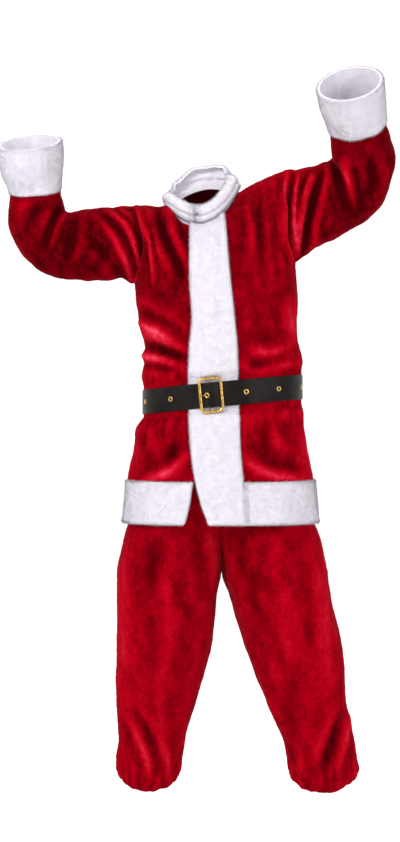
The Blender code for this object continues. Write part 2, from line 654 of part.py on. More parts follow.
def strap_path():
    """The strap's stations, as (middle point, direction through it, up, distance along). It wraps
    the buckle's centre bar, runs round the waist to the left, and comes back over the bar."""
    bar, outward, along, up = belt_base(angle_at(BUCKLE_X))
    bar = bar + outward * CENTRE_BAR_OUT
    around = CENTRE_BAR_RADIUS + SEAM + STRAP / 2
    stations = []
    for degrees in range(30, 271, 30):
        radial = along * math.cos(math.radians(degrees)) + outward * math.sin(math.radians(degrees))
        stations.append((bar + radial * around, -radial, up))
    start, end = angle_at(BUCKLE_X + 0.008), 360 + angle_at(TIP_X)
    near = 360 + angle_at(BUCKLE_X - 0.060)
    angles = [*np.linspace(start, near, 96), *np.linspace(near, end, 44)[1:]]
    for angle in angles:
        point, outward, _, up = belt_base(angle)
        out = strap_out(angle, angle > 180)
        stations.append((point + outward * (out + STRAP / 2), outward, up))
    return stations


def add_belt(black, brass, cutters):
    stations = strap_path()
    half = BELT_WIDTH / 2
    points = []
    for i, (middle, through, up) in enumerate(stations):
        slant = (stations[-1][0] - stations[-2][0]).normalized() * TIP_SLANT / 2
        last = i == len(stations) - 1
        for across, deep in ((-1, -1), (1, -1), (1, 1), (-1, 1)):
            lean = slant * -across if last else Vector()
            points.append(middle + up * across * half + through * deep * STRAP / 2 + lean)
    faces = [(0, 1, 2, 3), tuple(len(points) - k for k in (1, 2, 3, 4))]
    for i in range(len(stations) - 1):
        for k in range(4):
            a, b = 4 * i + k, 4 * i + (k + 1) % 4
            faces.append((a, a + 4, b + 4, b))
    mesh = bpy.data.meshes.new("belt_strap")
    mesh.from_pydata(points, [], faces)
    work = bmesh.new()
    work.from_mesh(mesh)
    bmesh.ops.recalc_face_normals(work, faces=work.faces)
    work.to_mesh(mesh)
    work.free()
    mesh.shade_smooth()
    mesh.set_sharp_from_angle(angle=math.radians(40))
    strap = add_object("belt_strap", mesh, black)
    holes = add_eyelets(stations, brass)
    frame = belt_frame(BUCKLE_X)
    slot = bmesh.new()
    bmesh.ops.create_cube(slot, size=1.0, matrix=frame @ Matrix.Translation((0, 0, CENTRE_BAR_OUT))
                          @ Matrix.Diagonal((SLOT_LENGTH, SLOT_WIDTH, 0.009, 1.0)))
    cut(strap, holes, "eyelet_holes", cutters)
    cut(strap, slot, "prong_slot", cutters)
    add_buckle(frame, brass)


def cut(piece, cutter, name, cutters):
    mesh = bpy.data.meshes.new(name)
    cutter.to_mesh(mesh)
    cutter.free()
    made = bpy.data.objects.new(name, mesh)
    made.hide_render = True
    made.display_type = "WIRE"
    cutters.objects.link(made)
    boolean = piece.modifiers.new(name, "BOOLEAN")
    boolean.operation = "DIFFERENCE"
    boolean.object = made


def belt_frame(x):
    """A frame on the belt's path in front: X along the strap to the left, Y up, Z outward."""
    point, outward, along, up = belt_base(angle_at(x))
    return Matrix.Translation(point) @ Matrix((along, up, outward)).transposed().to_4x4()


def add_eyelets(stations, brass):
    """The eyelets, a pitch apart on the strap from the one that the prong is through. Returns
    their holes as a cutter."""
    outline = [(EYELET_HOLE, -EYELET_LOW), (EYELET_BACK, -EYELET_LOW), (EYELET_BACK, -EYELET_GAP),
               (EYELET_TUBE, -EYELET_GAP), (EYELET_TUBE, STRAP + EYELET_GAP),
               (EYELET_RIM, STRAP + EYELET_GAP), (EYELET_RIM - 0.0008, STRAP + EYELET_HIGH),
               (EYELET_HOLE + 0.0006, STRAP + EYELET_HIGH), (EYELET_HOLE, STRAP + 0.0004)]
    mesh = bpy.data.meshes.new("eyelet")
    work = bmesh.new()
    ring_points = [[work.verts.new((r * math.cos(k * math.tau / EYELET_SIDES),
                                    r * math.sin(k * math.tau / EYELET_SIDES), z - STRAP / 2))
                    for r, z in outline] for k in range(EYELET_SIDES)]
    for k in range(EYELET_SIDES):
        here, there = ring_points[k], ring_points[(k + 1) % EYELET_SIDES]
        for i in range(len(outline)):
            j = (i + 1) % len(outline)
            work.faces.new((here[i], there[i], there[j], here[j]))
    bmesh.ops.recalc_face_normals(work, faces=work.faces)
    work.to_mesh(mesh)
    work.free()
    mesh.shade_smooth()
    mesh.set_sharp_from_angle(angle=math.radians(40))
    mesh.materials.append(brass)

    run = np.cumsum([0.0] + [(b[0] - a[0]).length for a, b in zip(stations, stations[1:])])
    outer_front = [i for i in range(len(stations) // 2 + 1, len(stations)) if stations[i][0].y < 0]
    prong_run = np.interp(BUCKLE_X + EYELET_BY_BUCKLE, [stations[i][0].x for i in outer_front],
                          [run[i] for i in outer_front])
    holes = bmesh.new()
    first = prong_run + EYELET_PITCH
    count = int((first - COVERED) / EYELET_PITCH) + 1
    for number in range(count):
        where = first - EYELET_PITCH * number
        i = int(np.searchsorted(run, where)) - 1
        share = (where - run[i]) / (run[i + 1] - run[i])
        middle = stations[i][0].lerp(stations[i + 1][0], share)
        along = (stations[i + 1][0] - stations[i][0]).normalized()
        through = stations[i][1].lerp(stations[i + 1][1], share)
        through = (through - through.dot(along) * along).normalized()
        turned = Matrix((along, through.cross(along), through)).transposed().to_4x4()
        placed = Matrix.Translation(middle) @ turned
        eyelet = bpy.data.objects.new(f"eyelet_{number + 1:02d}", mesh)
        eyelet.matrix_world = placed
        SUIT.objects.link(eyelet)
        bmesh.ops.create_cone(holes, cap_ends=True, segments=EYELET_SIDES, radius1=EYELET_TUBE + SEAM,
                              radius2=EYELET_TUBE + SEAM, depth=STRAP * 3, matrix=placed)
    return holes


def wire(name, points, radius, material, parent_matrix, cyclic=False, sides=1, flatten=1.0):
    """A wire along points of a frame, as a mesh object in that frame."""
    curve = bpy.data.curves.new(name, "CURVE")
    curve.dimensions = "3D"
    curve.bevel_depth = radius
    curve.bevel_resolution = sides
    curve.use_fill_caps = not cyclic
    spline = curve.splines.new("POLY")
    spline.points.add(len(points) - 1)
    for point, place_of in zip(spline.points, points):
        point.co = (*place_of, 1)
    spline.use_cyclic_u = cyclic
    made = bpy.data.objects.new(name, curve)
    SUIT.objects.link(made)
    graph = bpy.context.evaluated_depsgraph_get()
    mesh = bpy.data.meshes.new_from_object(made.evaluated_get(graph))
    bpy.data.objects.remove(made)
    work = bmesh.new()
    work.from_mesh(mesh)
    bmesh.ops.remove_doubles(work, verts=work.verts, dist=1e-5)
    middle_z = sum(v.co.z for v in work.verts) / len(work.verts)
    for vert in work.verts:
        vert.co.z = middle_z + (vert.co.z - middle_z) * flatten
    bmesh.ops.recalc_face_normals(work, faces=work.faces)
    work.to_mesh(mesh)
    work.free()
    mesh.shade_smooth()
    mesh.set_sharp_from_angle(angle=math.radians(50))
    mesh.name = name
    solid = add_object(name, mesh, material)
    solid.matrix_world = parent_matrix
    return solid


def add_buckle(frame, brass):
    """A rectangular frame over the strap, the bar across its middle behind the strap, and a prong
    that turns on the bar, comes up through an eyelet and rests on the frame's right side."""
    half_w, half_h, r = BUCKLE_WIDTH / 2, BUCKLE_HEIGHT / 2, BUCKLE_CORNER
    rim = []
    for quarter, (cx, cy) in enumerate(((1, 1), (-1, 1), (-1, -1), (1, -1))):
        for step in range(4):
            a = math.radians(90 * quarter + 30 * step)
            rim.append((cx * (half_w - r) + r * math.cos(a), cy * (half_h - r) + r * math.sin(a), FRAME_OUT))
    solid = wire("buckle_frame", rim, BUCKLE_BAR, brass, frame, cyclic=True, sides=2,
                 flatten=BUCKLE_FLATTEN)
    reach = half_h + BUCKLE_BAR * 0.3
    dip = BELT_WIDTH / 2 + 0.0015
    ends = [(0, -reach, FRAME_OUT), (0, -dip - 0.002, CENTRE_BAR_OUT), (0, dip + 0.002, CENTRE_BAR_OUT),
            (0, reach, FRAME_OUT)]
    bar = wire("centre_bar", ends, CENTRE_BAR_RADIUS, brass, frame, sides=2)
    join = solid.modifiers.new("centre_bar", "BOOLEAN")
    join.operation = "UNION"
    join.object = bar
    bar.hide_render = True
    bar.display_type = "WIRE"
    around = CENTRE_BAR_RADIUS + SEAM + PRONG
    hook = [(around * math.cos(math.radians(a)), 0, CENTRE_BAR_OUT + around * math.sin(math.radians(a)))
            for a in range(-60, 151, 30)]
    shank = [(u, 0, ON_BAND + out) for u, out in zip(PRONG_LINE["u"], PRONG_LINE["out"])][::-1]
    wire("buckle_prong", hook + shank, PRONG, brass, frame, sides=2)


# ---- the whole suit -----------------------------------------------------------------------
clear_scene()
SUIT = new_collection("santa_suit")
CUTTERS = new_collection("cutters", hidden=True)
RED_PLUSH = new_material("red_plush", **RED)
WHITE_FLEECE = new_material("white_fleece", **WHITE)
BLACK_LEATHERETTE = new_material("black_leatherette", **BLACK)
BRASS_METAL = new_material("brass", **BRASS)
add_jacket(RED_PLUSH, WHITE_FLEECE)
add_collar(WHITE_FLEECE)
add_trousers(RED_PLUSH)
add_belt(BLACK_LEATHERETTE, BRASS_METAL, CUTTERS)
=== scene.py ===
import math

import bmesh
import bpy
import numpy as np
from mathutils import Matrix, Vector, noise


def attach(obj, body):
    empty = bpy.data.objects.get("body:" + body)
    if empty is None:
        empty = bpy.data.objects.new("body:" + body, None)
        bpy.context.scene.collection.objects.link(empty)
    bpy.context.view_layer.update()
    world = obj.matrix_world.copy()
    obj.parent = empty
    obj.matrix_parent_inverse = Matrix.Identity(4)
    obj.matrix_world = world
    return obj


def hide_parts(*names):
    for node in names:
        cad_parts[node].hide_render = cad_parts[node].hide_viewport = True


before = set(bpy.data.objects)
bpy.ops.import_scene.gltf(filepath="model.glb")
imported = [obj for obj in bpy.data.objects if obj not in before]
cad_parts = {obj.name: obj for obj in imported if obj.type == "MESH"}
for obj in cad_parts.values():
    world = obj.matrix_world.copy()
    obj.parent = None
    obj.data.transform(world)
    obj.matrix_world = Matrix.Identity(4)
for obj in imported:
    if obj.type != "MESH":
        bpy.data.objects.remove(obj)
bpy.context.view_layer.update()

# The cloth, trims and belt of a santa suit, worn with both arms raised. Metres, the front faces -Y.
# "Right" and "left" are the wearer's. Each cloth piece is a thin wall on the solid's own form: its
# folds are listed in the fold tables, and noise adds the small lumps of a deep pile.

RIGHT, LEFT = -1, 1
FRONT, BACK = -1, 1

# ---- sizes shared with the solids -----------------------------------------------------------
PLUSH = 0.003           # wall of the red plush
FLEECE = 0.005          # wall of the white fleece, where the belt presses on it
LAP = 0.0012            # gap between the front band and the front that it laps over
ROUNDNESS = 0.84        # of the body's section, where 1 is an ellipse and less is boxier
ARMPIT, YOKE = -0.170, 0.170    # the armpits' nominal height, and from there to the shoulder seams
HEM_TOP, HEM = -0.672, -0.772
BELT_LOW, BELT_HIGH = -0.500, -0.434    # the edges of the cloth that the belt presses flat
BELT_WIDTH, STRAP, STRAP_GAP = 0.058, 0.002, 0.0009     # the strap, its thickness, the gap under it
BAND_LEAD, BAND_RAMP = 0.056, 0.048     # the strap rises this far before the band's edge, over that
TIP_X, TIP_SLANT = 0.157, 0.007         # where the strap's free end stops, and its slant
EYELET_PITCH = 0.0925
EYELET_BY_BUCKLE = -0.010   # from the centre bar to the eyelet that the prong is through
COVERED = 0.150             # the strap's length under the free end, which has no eyelet
BUCKLE_X, BUCKLE_WIDTH, BUCKLE_HEIGHT, BUCKLE_CORNER = 0.0225, 0.050, 0.078, 0.011
BUCKLE_BAR, BUCKLE_FLATTEN, CENTRE_BAR_RADIUS, PRONG = 0.0034, 0.6, 0.0016, 0.0010
ON_BAND = PLUSH + LAP + FLEECE + STRAP_GAP
FRAME_OUT, CENTRE_BAR_OUT = ON_BAND + 0.0071, ON_BAND + 0.0041
SEAM = 0.0003
SHOULDER_SHARE = 0.27       # of a front's width, from the armhole to the neck
ARMHOLE_SPREAD = 0.30       # how far over the front the armhole's bulge reaches
ARMHOLE_PULL = 0.016        # how far the armhole is drawn inward
SLEEVE_BLEND = 0.24         # the sleeve's share in which the armhole's loop becomes an oval
CUFF = 0.115
WAISTBAND = 0.040
LEG_CASING = 0.014
COLLAR_HEIGHT = 0.054
COLLAR_LOW = {RIGHT: 0.42, LEFT: 0.18}      # how much lower the collar is at each side
COLLAR_LEAN = 0.026         # how steeply its left side leans in above its first roll
COLLAR_GAP = 0.0040         # between the collar and the neck seam that it stands in


def table(columns, *rows):
    """A table of sizes as {column: values}, from the lowest row to the highest."""
    ordered = sorted(rows)
    return {name: np.array([row[i] for row in ordered]) for i, name in enumerate(columns.split())}


TORSO = table(
    "z      x_mid  half_width front  back   rise",
    (-0.772, 0.047, 0.229, 0.172, 0.162, 0.000),
    (-0.672, 0.045, 0.220, 0.166, 0.156, 0.000),
    (-0.600, 0.043, 0.206, 0.158, 0.149, 0.030),
    (-0.545, 0.044, 0.197, 0.152, 0.143, 0.066),
    (-0.518, 0.046, 0.191, 0.147, 0.137, 0.088),
    (-0.500, 0.050, 0.186, 0.143, 0.133, 0.098),
    (-0.434, 0.050, 0.186, 0.143, 0.133, 0.098),
    (-0.395, 0.049, 0.185, 0.151, 0.141, 0.100),
    (-0.345, 0.046, 0.181, 0.154, 0.144, 0.100),
    (-0.285, 0.040, 0.185, 0.154, 0.146, 0.105),
    (-0.225, 0.036, 0.187, 0.151, 0.146, 0.110),
    (-0.170, 0.034, 0.188, 0.147, 0.143, 0.110),
)

# Where the front edges run, as X at each height: the band's two edges and the right front's edge.
FRONT_LINES = table(
    "z       band_right band_left right_edge",
    (-0.772,  0.010, 0.101, -0.036),
    (-0.730,  0.000, 0.100, -0.028),
    (-0.672, -0.014, 0.097, -0.019),
    (-0.620, -0.022, 0.091, -0.004),
    (-0.560, -0.027, 0.088,  0.008),
    (-0.450, -0.030, 0.085,  0.008),
    (-0.360, -0.028, 0.082,  0.008),
    (-0.285, -0.022, 0.075,  0.012),
    (-0.200, -0.027, 0.066,  0.010),
    (-0.120, -0.028, 0.060,  0.008),
    ( 0.000, -0.031, 0.055,  0.005),
)

NECK = dict(x=0.002, y=-0.008, z=-0.001, half_width=0.088, front=0.072, back=0.062,
            rise=0.190, front_drop=0.075, back_lift=0.032)
SHOULDER_TIP = {RIGHT: (-0.163, -0.002, -0.016), LEFT: (0.194, -0.002, 0.064)}
ARMHOLE_DEPTH = {RIGHT: 0.082, LEFT: 0.094}

# An arm runs straight from shoulder to elbow, round a bend, and straight to the cuff's end.
ARM = {
    RIGHT: dict(shoulder=(-0.160, 0.0, -0.104), elbow=(-0.384, -0.006, -0.113),
                end=(-0.405, -0.095, 0.123), bend=0.086),
    LEFT: dict(shoulder=(0.208, 0.0, -0.044), elbow=(0.400, 0.008, 0.044),
               end=(0.342, -0.165, 0.250), bend=0.086),
}
SLEEVE = {
    RIGHT: table("share up fore", (0.0, 0.084, 0.080), (0.20, 0.083, 0.078), (0.38, 0.081, 0.076),
                 (0.58, 0.076, 0.073), (0.78, 0.070, 0.068), (1.0, 0.061, 0.061)),
    LEFT: table("share up fore", (0.0, 0.106, 0.092), (0.20, 0.096, 0.085), (0.38, 0.087, 0.080),
                (0.58, 0.079, 0.075), (0.78, 0.071, 0.069), (1.0, 0.062, 0.062)),
}
CUFF_FLARE = table("share wider", (0.0, 0.0), (0.3, 0.003), (1.0, 0.008))

# Each side of the trousers, from the waist to the casing at the ankle. inner is the centre seam
# down to the crotch and the inseam below it; split says how far the section is a leg of its own.
CROTCH, CROTCH_X = -0.890, 0.0475
TROUSERS = {
    RIGHT: table(
        "z      outer   inner     front  back   split dip",
        (-0.505, -0.104, CROTCH_X, 0.112, 0.110, 0.00, 0.000),
        (-0.545, -0.116, CROTCH_X, 0.122, 0.120, 0.00, 0.000),
        (-0.600, -0.140, CROTCH_X, 0.136, 0.132, 0.00, 0.000),
        (-0.700, -0.159, CROTCH_X, 0.150, 0.144, 0.10, 0.000),
        (-0.772, -0.173, CROTCH_X, 0.155, 0.148, 0.40, 0.000),
        (-0.812, -0.186, CROTCH_X, 0.155, 0.150, 0.66, 0.000),
        (-0.850, -0.194, CROTCH_X, 0.152, 0.149, 0.87, 0.000),
        (-0.890, -0.200, CROTCH_X, 0.146, 0.146, 1.00, 0.000),
        (-0.960, -0.200, 0.035, 0.136, 0.138, 1.00, 0.000),
        (-1.080, -0.202, 0.016, 0.119, 0.123, 1.00, 0.000),
        (-1.200, -0.204, -0.015, 0.098, 0.104, 1.00, 0.000),
        (-1.290, -0.200, -0.043, 0.084, 0.090, 1.00, 0.004),
        (-1.340, -0.207, -0.052, 0.080, 0.084, 1.00, 0.012),
        (-1.362, -0.207, -0.053, 0.078, 0.081, 1.00, 0.018),
        (-1.376, -0.202, -0.058, 0.072, 0.074, 1.00, 0.020),
        (-1.386, -0.194, -0.065, 0.064, 0.066, 1.00, 0.020),
    ),
    LEFT: table(
        "z      outer   inner     front  back   split dip",
        (-0.505, 0.199, CROTCH_X, 0.112, 0.110, 0.00, 0.000),
        (-0.545, 0.211, CROTCH_X, 0.122, 0.120, 0.00, 0.000),
        (-0.600, 0.234, CROTCH_X, 0.136, 0.132, 0.00, 0.000),
        (-0.700, 0.253, CROTCH_X, 0.150, 0.144, 0.10, 0.000),
        (-0.772, 0.266, CROTCH_X, 0.155, 0.148, 0.40, 0.000),
        (-0.812, 0.283, CROTCH_X, 0.155, 0.150, 0.66, 0.000),
        (-0.850, 0.295, CROTCH_X, 0.152, 0.149, 0.87, 0.000),
        (-0.890, 0.303, CROTCH_X, 0.146, 0.146, 1.00, 0.000),
        (-0.960, 0.311, 0.069, 0.136, 0.138, 1.00, 0.000),
        (-1.080, 0.334, 0.109, 0.119, 0.123, 1.00, 0.000),
        (-1.200, 0.342, 0.152, 0.098, 0.104, 1.00, 0.000),
        (-1.290, 0.364, 0.195, 0.086, 0.090, 1.00, 0.004),
        (-1.340, 0.372, 0.205, 0.082, 0.085, 1.00, 0.012),
        (-1.362, 0.375, 0.208, 0.080, 0.082, 1.00, 0.018),
        (-1.376, 0.371, 0.212, 0.073, 0.075, 1.00, 0.020),
        (-1.386, 0.363, 0.219, 0.065, 0.067, 1.00, 0.020),
    ),
}

COLLAR = table("share out", (0.0, 0.0), (0.26, 0.0), (0.44, 0.009), (0.60, 0.006),
               (0.76, 0.010), (0.93, 0.004), (1.0, -0.006))
OUTER_TURN = table("u off", (-0.060, 0.0), (-0.040, 0.0001), (-0.024, 0.0014), (-0.018, 0.0034),
                   (-0.010, 0.0062), (-0.004, 0.0082), (0.000, 0.0087), (0.004, 0.0086),
                   (0.013, 0.0058), (0.021, 0.0028), (0.030, 0.0026), (0.045, 0.0033), (0.060, 0.0033))
PRONG_LINE = table("u out", (-0.0295, 0.0105), (-0.0240, 0.0106), (-0.0165, 0.0104),
                   (-0.0125, 0.0099), (-0.0085, 0.0062), (-0.0055, 0.0050))

# ---- folds ----------------------------------------------------------------------------------
# How boldly the tables' folds are drawn on the jacket's body, its sleeves and the trousers.
JACKET_GAIN, SLEEVE_GAIN, TROUSER_GAIN = 1.30, 0.85, 0.40
RIDGE_POWER, TROUGH_POWER = 1.35, 2.0       # a ridge is sharper than a trough
SIDE_DIP, DIP_AT, DIP_REACH = 0.45, 1.7, 0.85       # the dip beside a fold, in its height and widths
FADE_POWER = 0.7                            # how fast a fold dies away at its ends
STEEPNESS, FOLD_REACH = 1.2, 4              # of a fold's side, and how many widths out it is felt

# Each row is one crease on a curve through three points in front view: x and z of each point, then
# its height out of the cloth, below 0 for a trough, and its width to each side.
JACKET_FRONT = (
    # right shoulder and armhole
    (-0.265, -0.040, -0.197, -0.115, -0.155, -0.215,  0.0062, 0.010),
    (-0.280, -0.075, -0.220, -0.145, -0.180, -0.210, -0.0042, 0.014),
    (-0.250, -0.020, -0.168, -0.090, -0.150, -0.200,  0.0055, 0.008),
    (-0.165,  0.000, -0.122, -0.120, -0.113, -0.215,  0.0055, 0.006),
    (-0.180, -0.010, -0.150, -0.080, -0.138, -0.190, -0.0028, 0.012),
    (-0.110, -0.010, -0.085, -0.105, -0.035, -0.205, -0.0070, 0.014),
    (-0.080, -0.020, -0.062, -0.100, -0.035, -0.150,  0.0035, 0.011),
    # waist on the right side
    (-0.165, -0.285, -0.100, -0.320, -0.045, -0.360,  0.0080, 0.014),
    (-0.155, -0.335, -0.095, -0.362, -0.030, -0.388, -0.0070, 0.012),
    (-0.150, -0.372, -0.105, -0.384, -0.060, -0.398,  0.0060, 0.010),
    (-0.150, -0.235, -0.110, -0.262, -0.060, -0.290,  0.0030, 0.018),
    # left chest
    ( 0.104,  0.000,  0.112, -0.060,  0.118, -0.130,  0.0016, 0.010),
    ( 0.130, -0.010,  0.136, -0.110,  0.146, -0.230, -0.0022, 0.014),
    ( 0.150,  0.040,  0.152, -0.030,  0.156, -0.110,  0.0020, 0.010),
    ( 0.170,  0.045,  0.177, -0.060,  0.190, -0.220,  0.0028, 0.009),
    ( 0.205,  0.060,  0.190, -0.060,  0.218, -0.160,  0.0070, 0.009),
    ( 0.232,  0.060,  0.216, -0.030,  0.218, -0.140,  0.0065, 0.008),
    ( 0.222,  0.050,  0.203, -0.040,  0.206, -0.120, -0.0050, 0.008),
    ( 0.275,  0.055,  0.240, -0.020,  0.228, -0.140,  0.0070, 0.010),
    ( 0.292,  0.065,  0.260, -0.020,  0.243, -0.140, -0.0110, 0.011),
    # left waist, softer
    ( 0.100, -0.350,  0.150, -0.368,  0.215, -0.350,  0.0040, 0.020),
    ( 0.105, -0.395,  0.150, -0.392,  0.215, -0.372, -0.0035, 0.014),
    ( 0.200, -0.230,  0.205, -0.300,  0.222, -0.360,  0.0035, 0.016),
    # skirt
    (-0.175, -0.690, -0.086, -0.655, -0.023, -0.600,  0.0050, 0.016),
    (-0.160, -0.640, -0.095, -0.615, -0.030, -0.575, -0.0026, 0.020),
    ( 0.090, -0.615,  0.160, -0.656,  0.250, -0.670,  0.0045, 0.016),
    ( 0.110, -0.580,  0.165, -0.618,  0.235, -0.635, -0.0026, 0.020),
    (-0.120, -0.545, -0.105, -0.590, -0.100, -0.640,  0.0030, 0.014),
    ( 0.160, -0.530,  0.170, -0.570,  0.180, -0.600,  0.0030, 0.014),
    # right sleeve
    (-0.322, -0.040, -0.338, -0.065, -0.358, -0.130,  0.0080, 0.009),
    (-0.318,  0.010, -0.346, -0.050, -0.372, -0.110, -0.0060, 0.014),
    (-0.372,  0.010, -0.396, -0.046, -0.430, -0.110, -0.0050, 0.018),
    (-0.300, -0.040, -0.308, -0.095, -0.325, -0.150, -0.0070, 0.014),
    (-0.275, -0.095, -0.285, -0.125, -0.315, -0.160,  0.0035, 0.012),
    (-0.235, -0.120, -0.240, -0.150, -0.262, -0.175, -0.0035, 0.016),
    (-0.345,  0.030, -0.380, -0.010, -0.440, -0.030,  0.0040, 0.014),
    # left sleeve
    ( 0.328,  0.095,  0.346,  0.036,  0.362, -0.020,  0.0080, 0.012),
    ( 0.312,  0.090,  0.325,  0.040,  0.345, -0.040, -0.0065, 0.013),
    ( 0.300,  0.085,  0.290,  0.020,  0.300, -0.080,  0.0050, 0.014),
    ( 0.385,  0.100,  0.400,  0.040,  0.395, -0.010, -0.0050, 0.016),
    ( 0.415,  0.110,  0.430,  0.060,  0.425,  0.010,  0.0040, 0.014),
    ( 0.262, -0.060,  0.290, -0.110,  0.335, -0.080,  0.0045, 0.014),
)
JACKET_BACK = (
    ( 0.265, -0.020,  0.200, -0.100,  0.165, -0.220,  0.0075, 0.011),
    ( 0.290,  0.040,  0.250, -0.030,  0.235, -0.150, -0.0090, 0.011),
    ( 0.230,  0.045,  0.180, -0.060,  0.150, -0.180, -0.0055, 0.013),
    (-0.265, -0.045, -0.205, -0.115, -0.160, -0.220,  0.0075, 0.011),
    (-0.285, -0.070, -0.225, -0.140, -0.185, -0.205, -0.0070, 0.012),
    (-0.180,  0.000, -0.130, -0.110, -0.110, -0.230, -0.0060, 0.014),
    (-0.150, -0.010, -0.100, -0.090, -0.070, -0.230,  0.0045, 0.014),
    ( 0.175,  0.050,  0.130, -0.080,  0.115, -0.220,  0.0045, 0.014),
    (-0.060,  0.010,  0.005, -0.045,  0.090,  0.030,  0.0050, 0.016),
    (-0.070, -0.030,  0.010, -0.090,  0.110, -0.010, -0.0045, 0.018),
    (-0.135, -0.330, -0.060, -0.372,  0.020, -0.400,  0.0060, 0.013),
    ( 0.225, -0.315,  0.150, -0.360,  0.070, -0.395,  0.0060, 0.013),
    (-0.140, -0.290, -0.060, -0.325,  0.010, -0.345, -0.0045, 0.014),
    ( 0.225, -0.275,  0.150, -0.315,  0.080, -0.340, -0.0045, 0.014),
    ( 0.000, -0.260,  0.050, -0.300,  0.110, -0.270,  0.0040, 0.018),
    (-0.150, -0.540, -0.120, -0.610, -0.130, -0.690,  0.0055, 0.017),
    (-0.060, -0.525, -0.045, -0.600, -0.055, -0.680, -0.0050, 0.018),
    ( 0.020, -0.520,  0.030, -0.600,  0.020, -0.690,  0.0055, 0.018),
    ( 0.110, -0.525,  0.105, -0.600,  0.120, -0.680, -0.0050, 0.018),
    ( 0.190, -0.540,  0.180, -0.610,  0.195, -0.690,  0.0055, 0.017),
    (-0.305, -0.020, -0.330, -0.090, -0.345, -0.180,  0.0065, 0.011),
    (-0.340,  0.020, -0.375, -0.040, -0.430, -0.080, -0.0060, 0.014),
    (-0.270, -0.070, -0.280, -0.130, -0.300, -0.185, -0.0060, 0.011),
    (-0.360, -0.060, -0.385, -0.110, -0.420, -0.130,  0.0050, 0.012),
    ( 0.320,  0.090,  0.335,  0.030,  0.330, -0.050,  0.0065, 0.012),
    ( 0.355,  0.100,  0.370,  0.050,  0.385, -0.010, -0.0060, 0.014),
    ( 0.400,  0.120,  0.415,  0.060,  0.410,  0.010,  0.0050, 0.013),
    ( 0.290,  0.060,  0.300,  0.000,  0.280, -0.080, -0.0050, 0.012),
)
TROUSERS_FRONT = (
    ( 0.012, -0.780,  0.022, -0.830,  0.036, -0.900,  0.0055, 0.013),
    (-0.020, -0.800, -0.012, -0.870,  0.002, -0.960, -0.0045, 0.016),
    (-0.060, -0.780, -0.078, -0.900, -0.070, -1.040,  0.0045, 0.020),
    (-0.110, -0.790, -0.122, -0.940, -0.118, -1.120, -0.0055, 0.022),
    (-0.170, -0.800, -0.182, -0.980, -0.172, -1.200,  0.0055, 0.018),
    (-0.030, -0.930, -0.045, -1.060, -0.070, -1.190, -0.0040, 0.018),
    (-0.085, -1.100, -0.095, -1.210, -0.090, -1.330,  0.0045, 0.016),
    (-0.190, -1.200, -0.140, -1.295, -0.125, -1.375,  0.0065, 0.013),
    (-0.165, -1.200, -0.118, -1.290, -0.105, -1.370, -0.0060, 0.013),
    (-0.085, -1.290, -0.082, -1.335, -0.088, -1.385,  0.0045, 0.010),
    ( 0.065, -0.860,  0.110, -0.920,  0.190, -0.950,  0.0040, 0.020),
    ( 0.090, -0.800,  0.118, -0.930,  0.150, -1.080, -0.0045, 0.020),
    ( 0.160, -0.790,  0.185, -0.930,  0.215, -1.100,  0.0050, 0.020),
    ( 0.225, -0.800,  0.245, -0.960,  0.270, -1.150, -0.0040, 0.020),
    ( 0.270, -0.850,  0.290, -1.000,  0.312, -1.230,  0.0055, 0.018),
    ( 0.120, -0.990,  0.160, -1.080,  0.190, -1.200,  0.0035, 0.018),
    ( 0.350, -1.160,  0.308, -1.280,  0.280, -1.360, -0.0075, 0.015),
    ( 0.365, -1.200,  0.335, -1.290,  0.315, -1.370,  0.0060, 0.014),
    ( 0.215, -1.230,  0.235, -1.310,  0.245, -1.375,  0.0050, 0.013),
    ( 0.200, -1.180,  0.225, -1.270,  0.262, -1.360, -0.0035, 0.013),
)
TROUSERS_BACK = (
    (-0.120, -0.800,  0.000, -0.900,  0.045, -0.900,  0.0055, 0.018),
    ( 0.215, -0.800,  0.100, -0.900,  0.050, -0.900,  0.0055, 0.018),
    (-0.140, -0.860, -0.050, -0.950,  0.020, -0.985, -0.0050, 0.018),
    ( 0.240, -0.860,  0.150, -0.950,  0.080, -0.985, -0.0050, 0.018),
    (-0.170, -0.820, -0.180, -1.000, -0.165, -1.200,  0.0055, 0.020),
    (-0.100, -0.960, -0.115, -1.080, -0.120, -1.250, -0.0050, 0.022),
    (-0.050, -1.000, -0.060, -1.120, -0.085, -1.280,  0.0045, 0.018),
    ( 0.280, -0.830,  0.300, -1.000,  0.318, -1.200,  0.0055, 0.020),
    ( 0.200, -0.960,  0.235, -1.080,  0.265, -1.250, -0.0050, 0.022),
    ( 0.130, -1.000,  0.165, -1.120,  0.215, -1.280,  0.0045, 0.018),
    (-0.190, -1.230, -0.140, -1.300, -0.100, -1.370,  0.0060, 0.013),
    (-0.150, -1.220, -0.105, -1.290, -0.080, -1.350, -0.0050, 0.013),
    ( 0.355, -1.230,  0.310, -1.300,  0.270, -1.370,  0.0060, 0.013),
    ( 0.320, -1.220,  0.270, -1.290,  0.245, -1.350, -0.0050, 0.013),
)
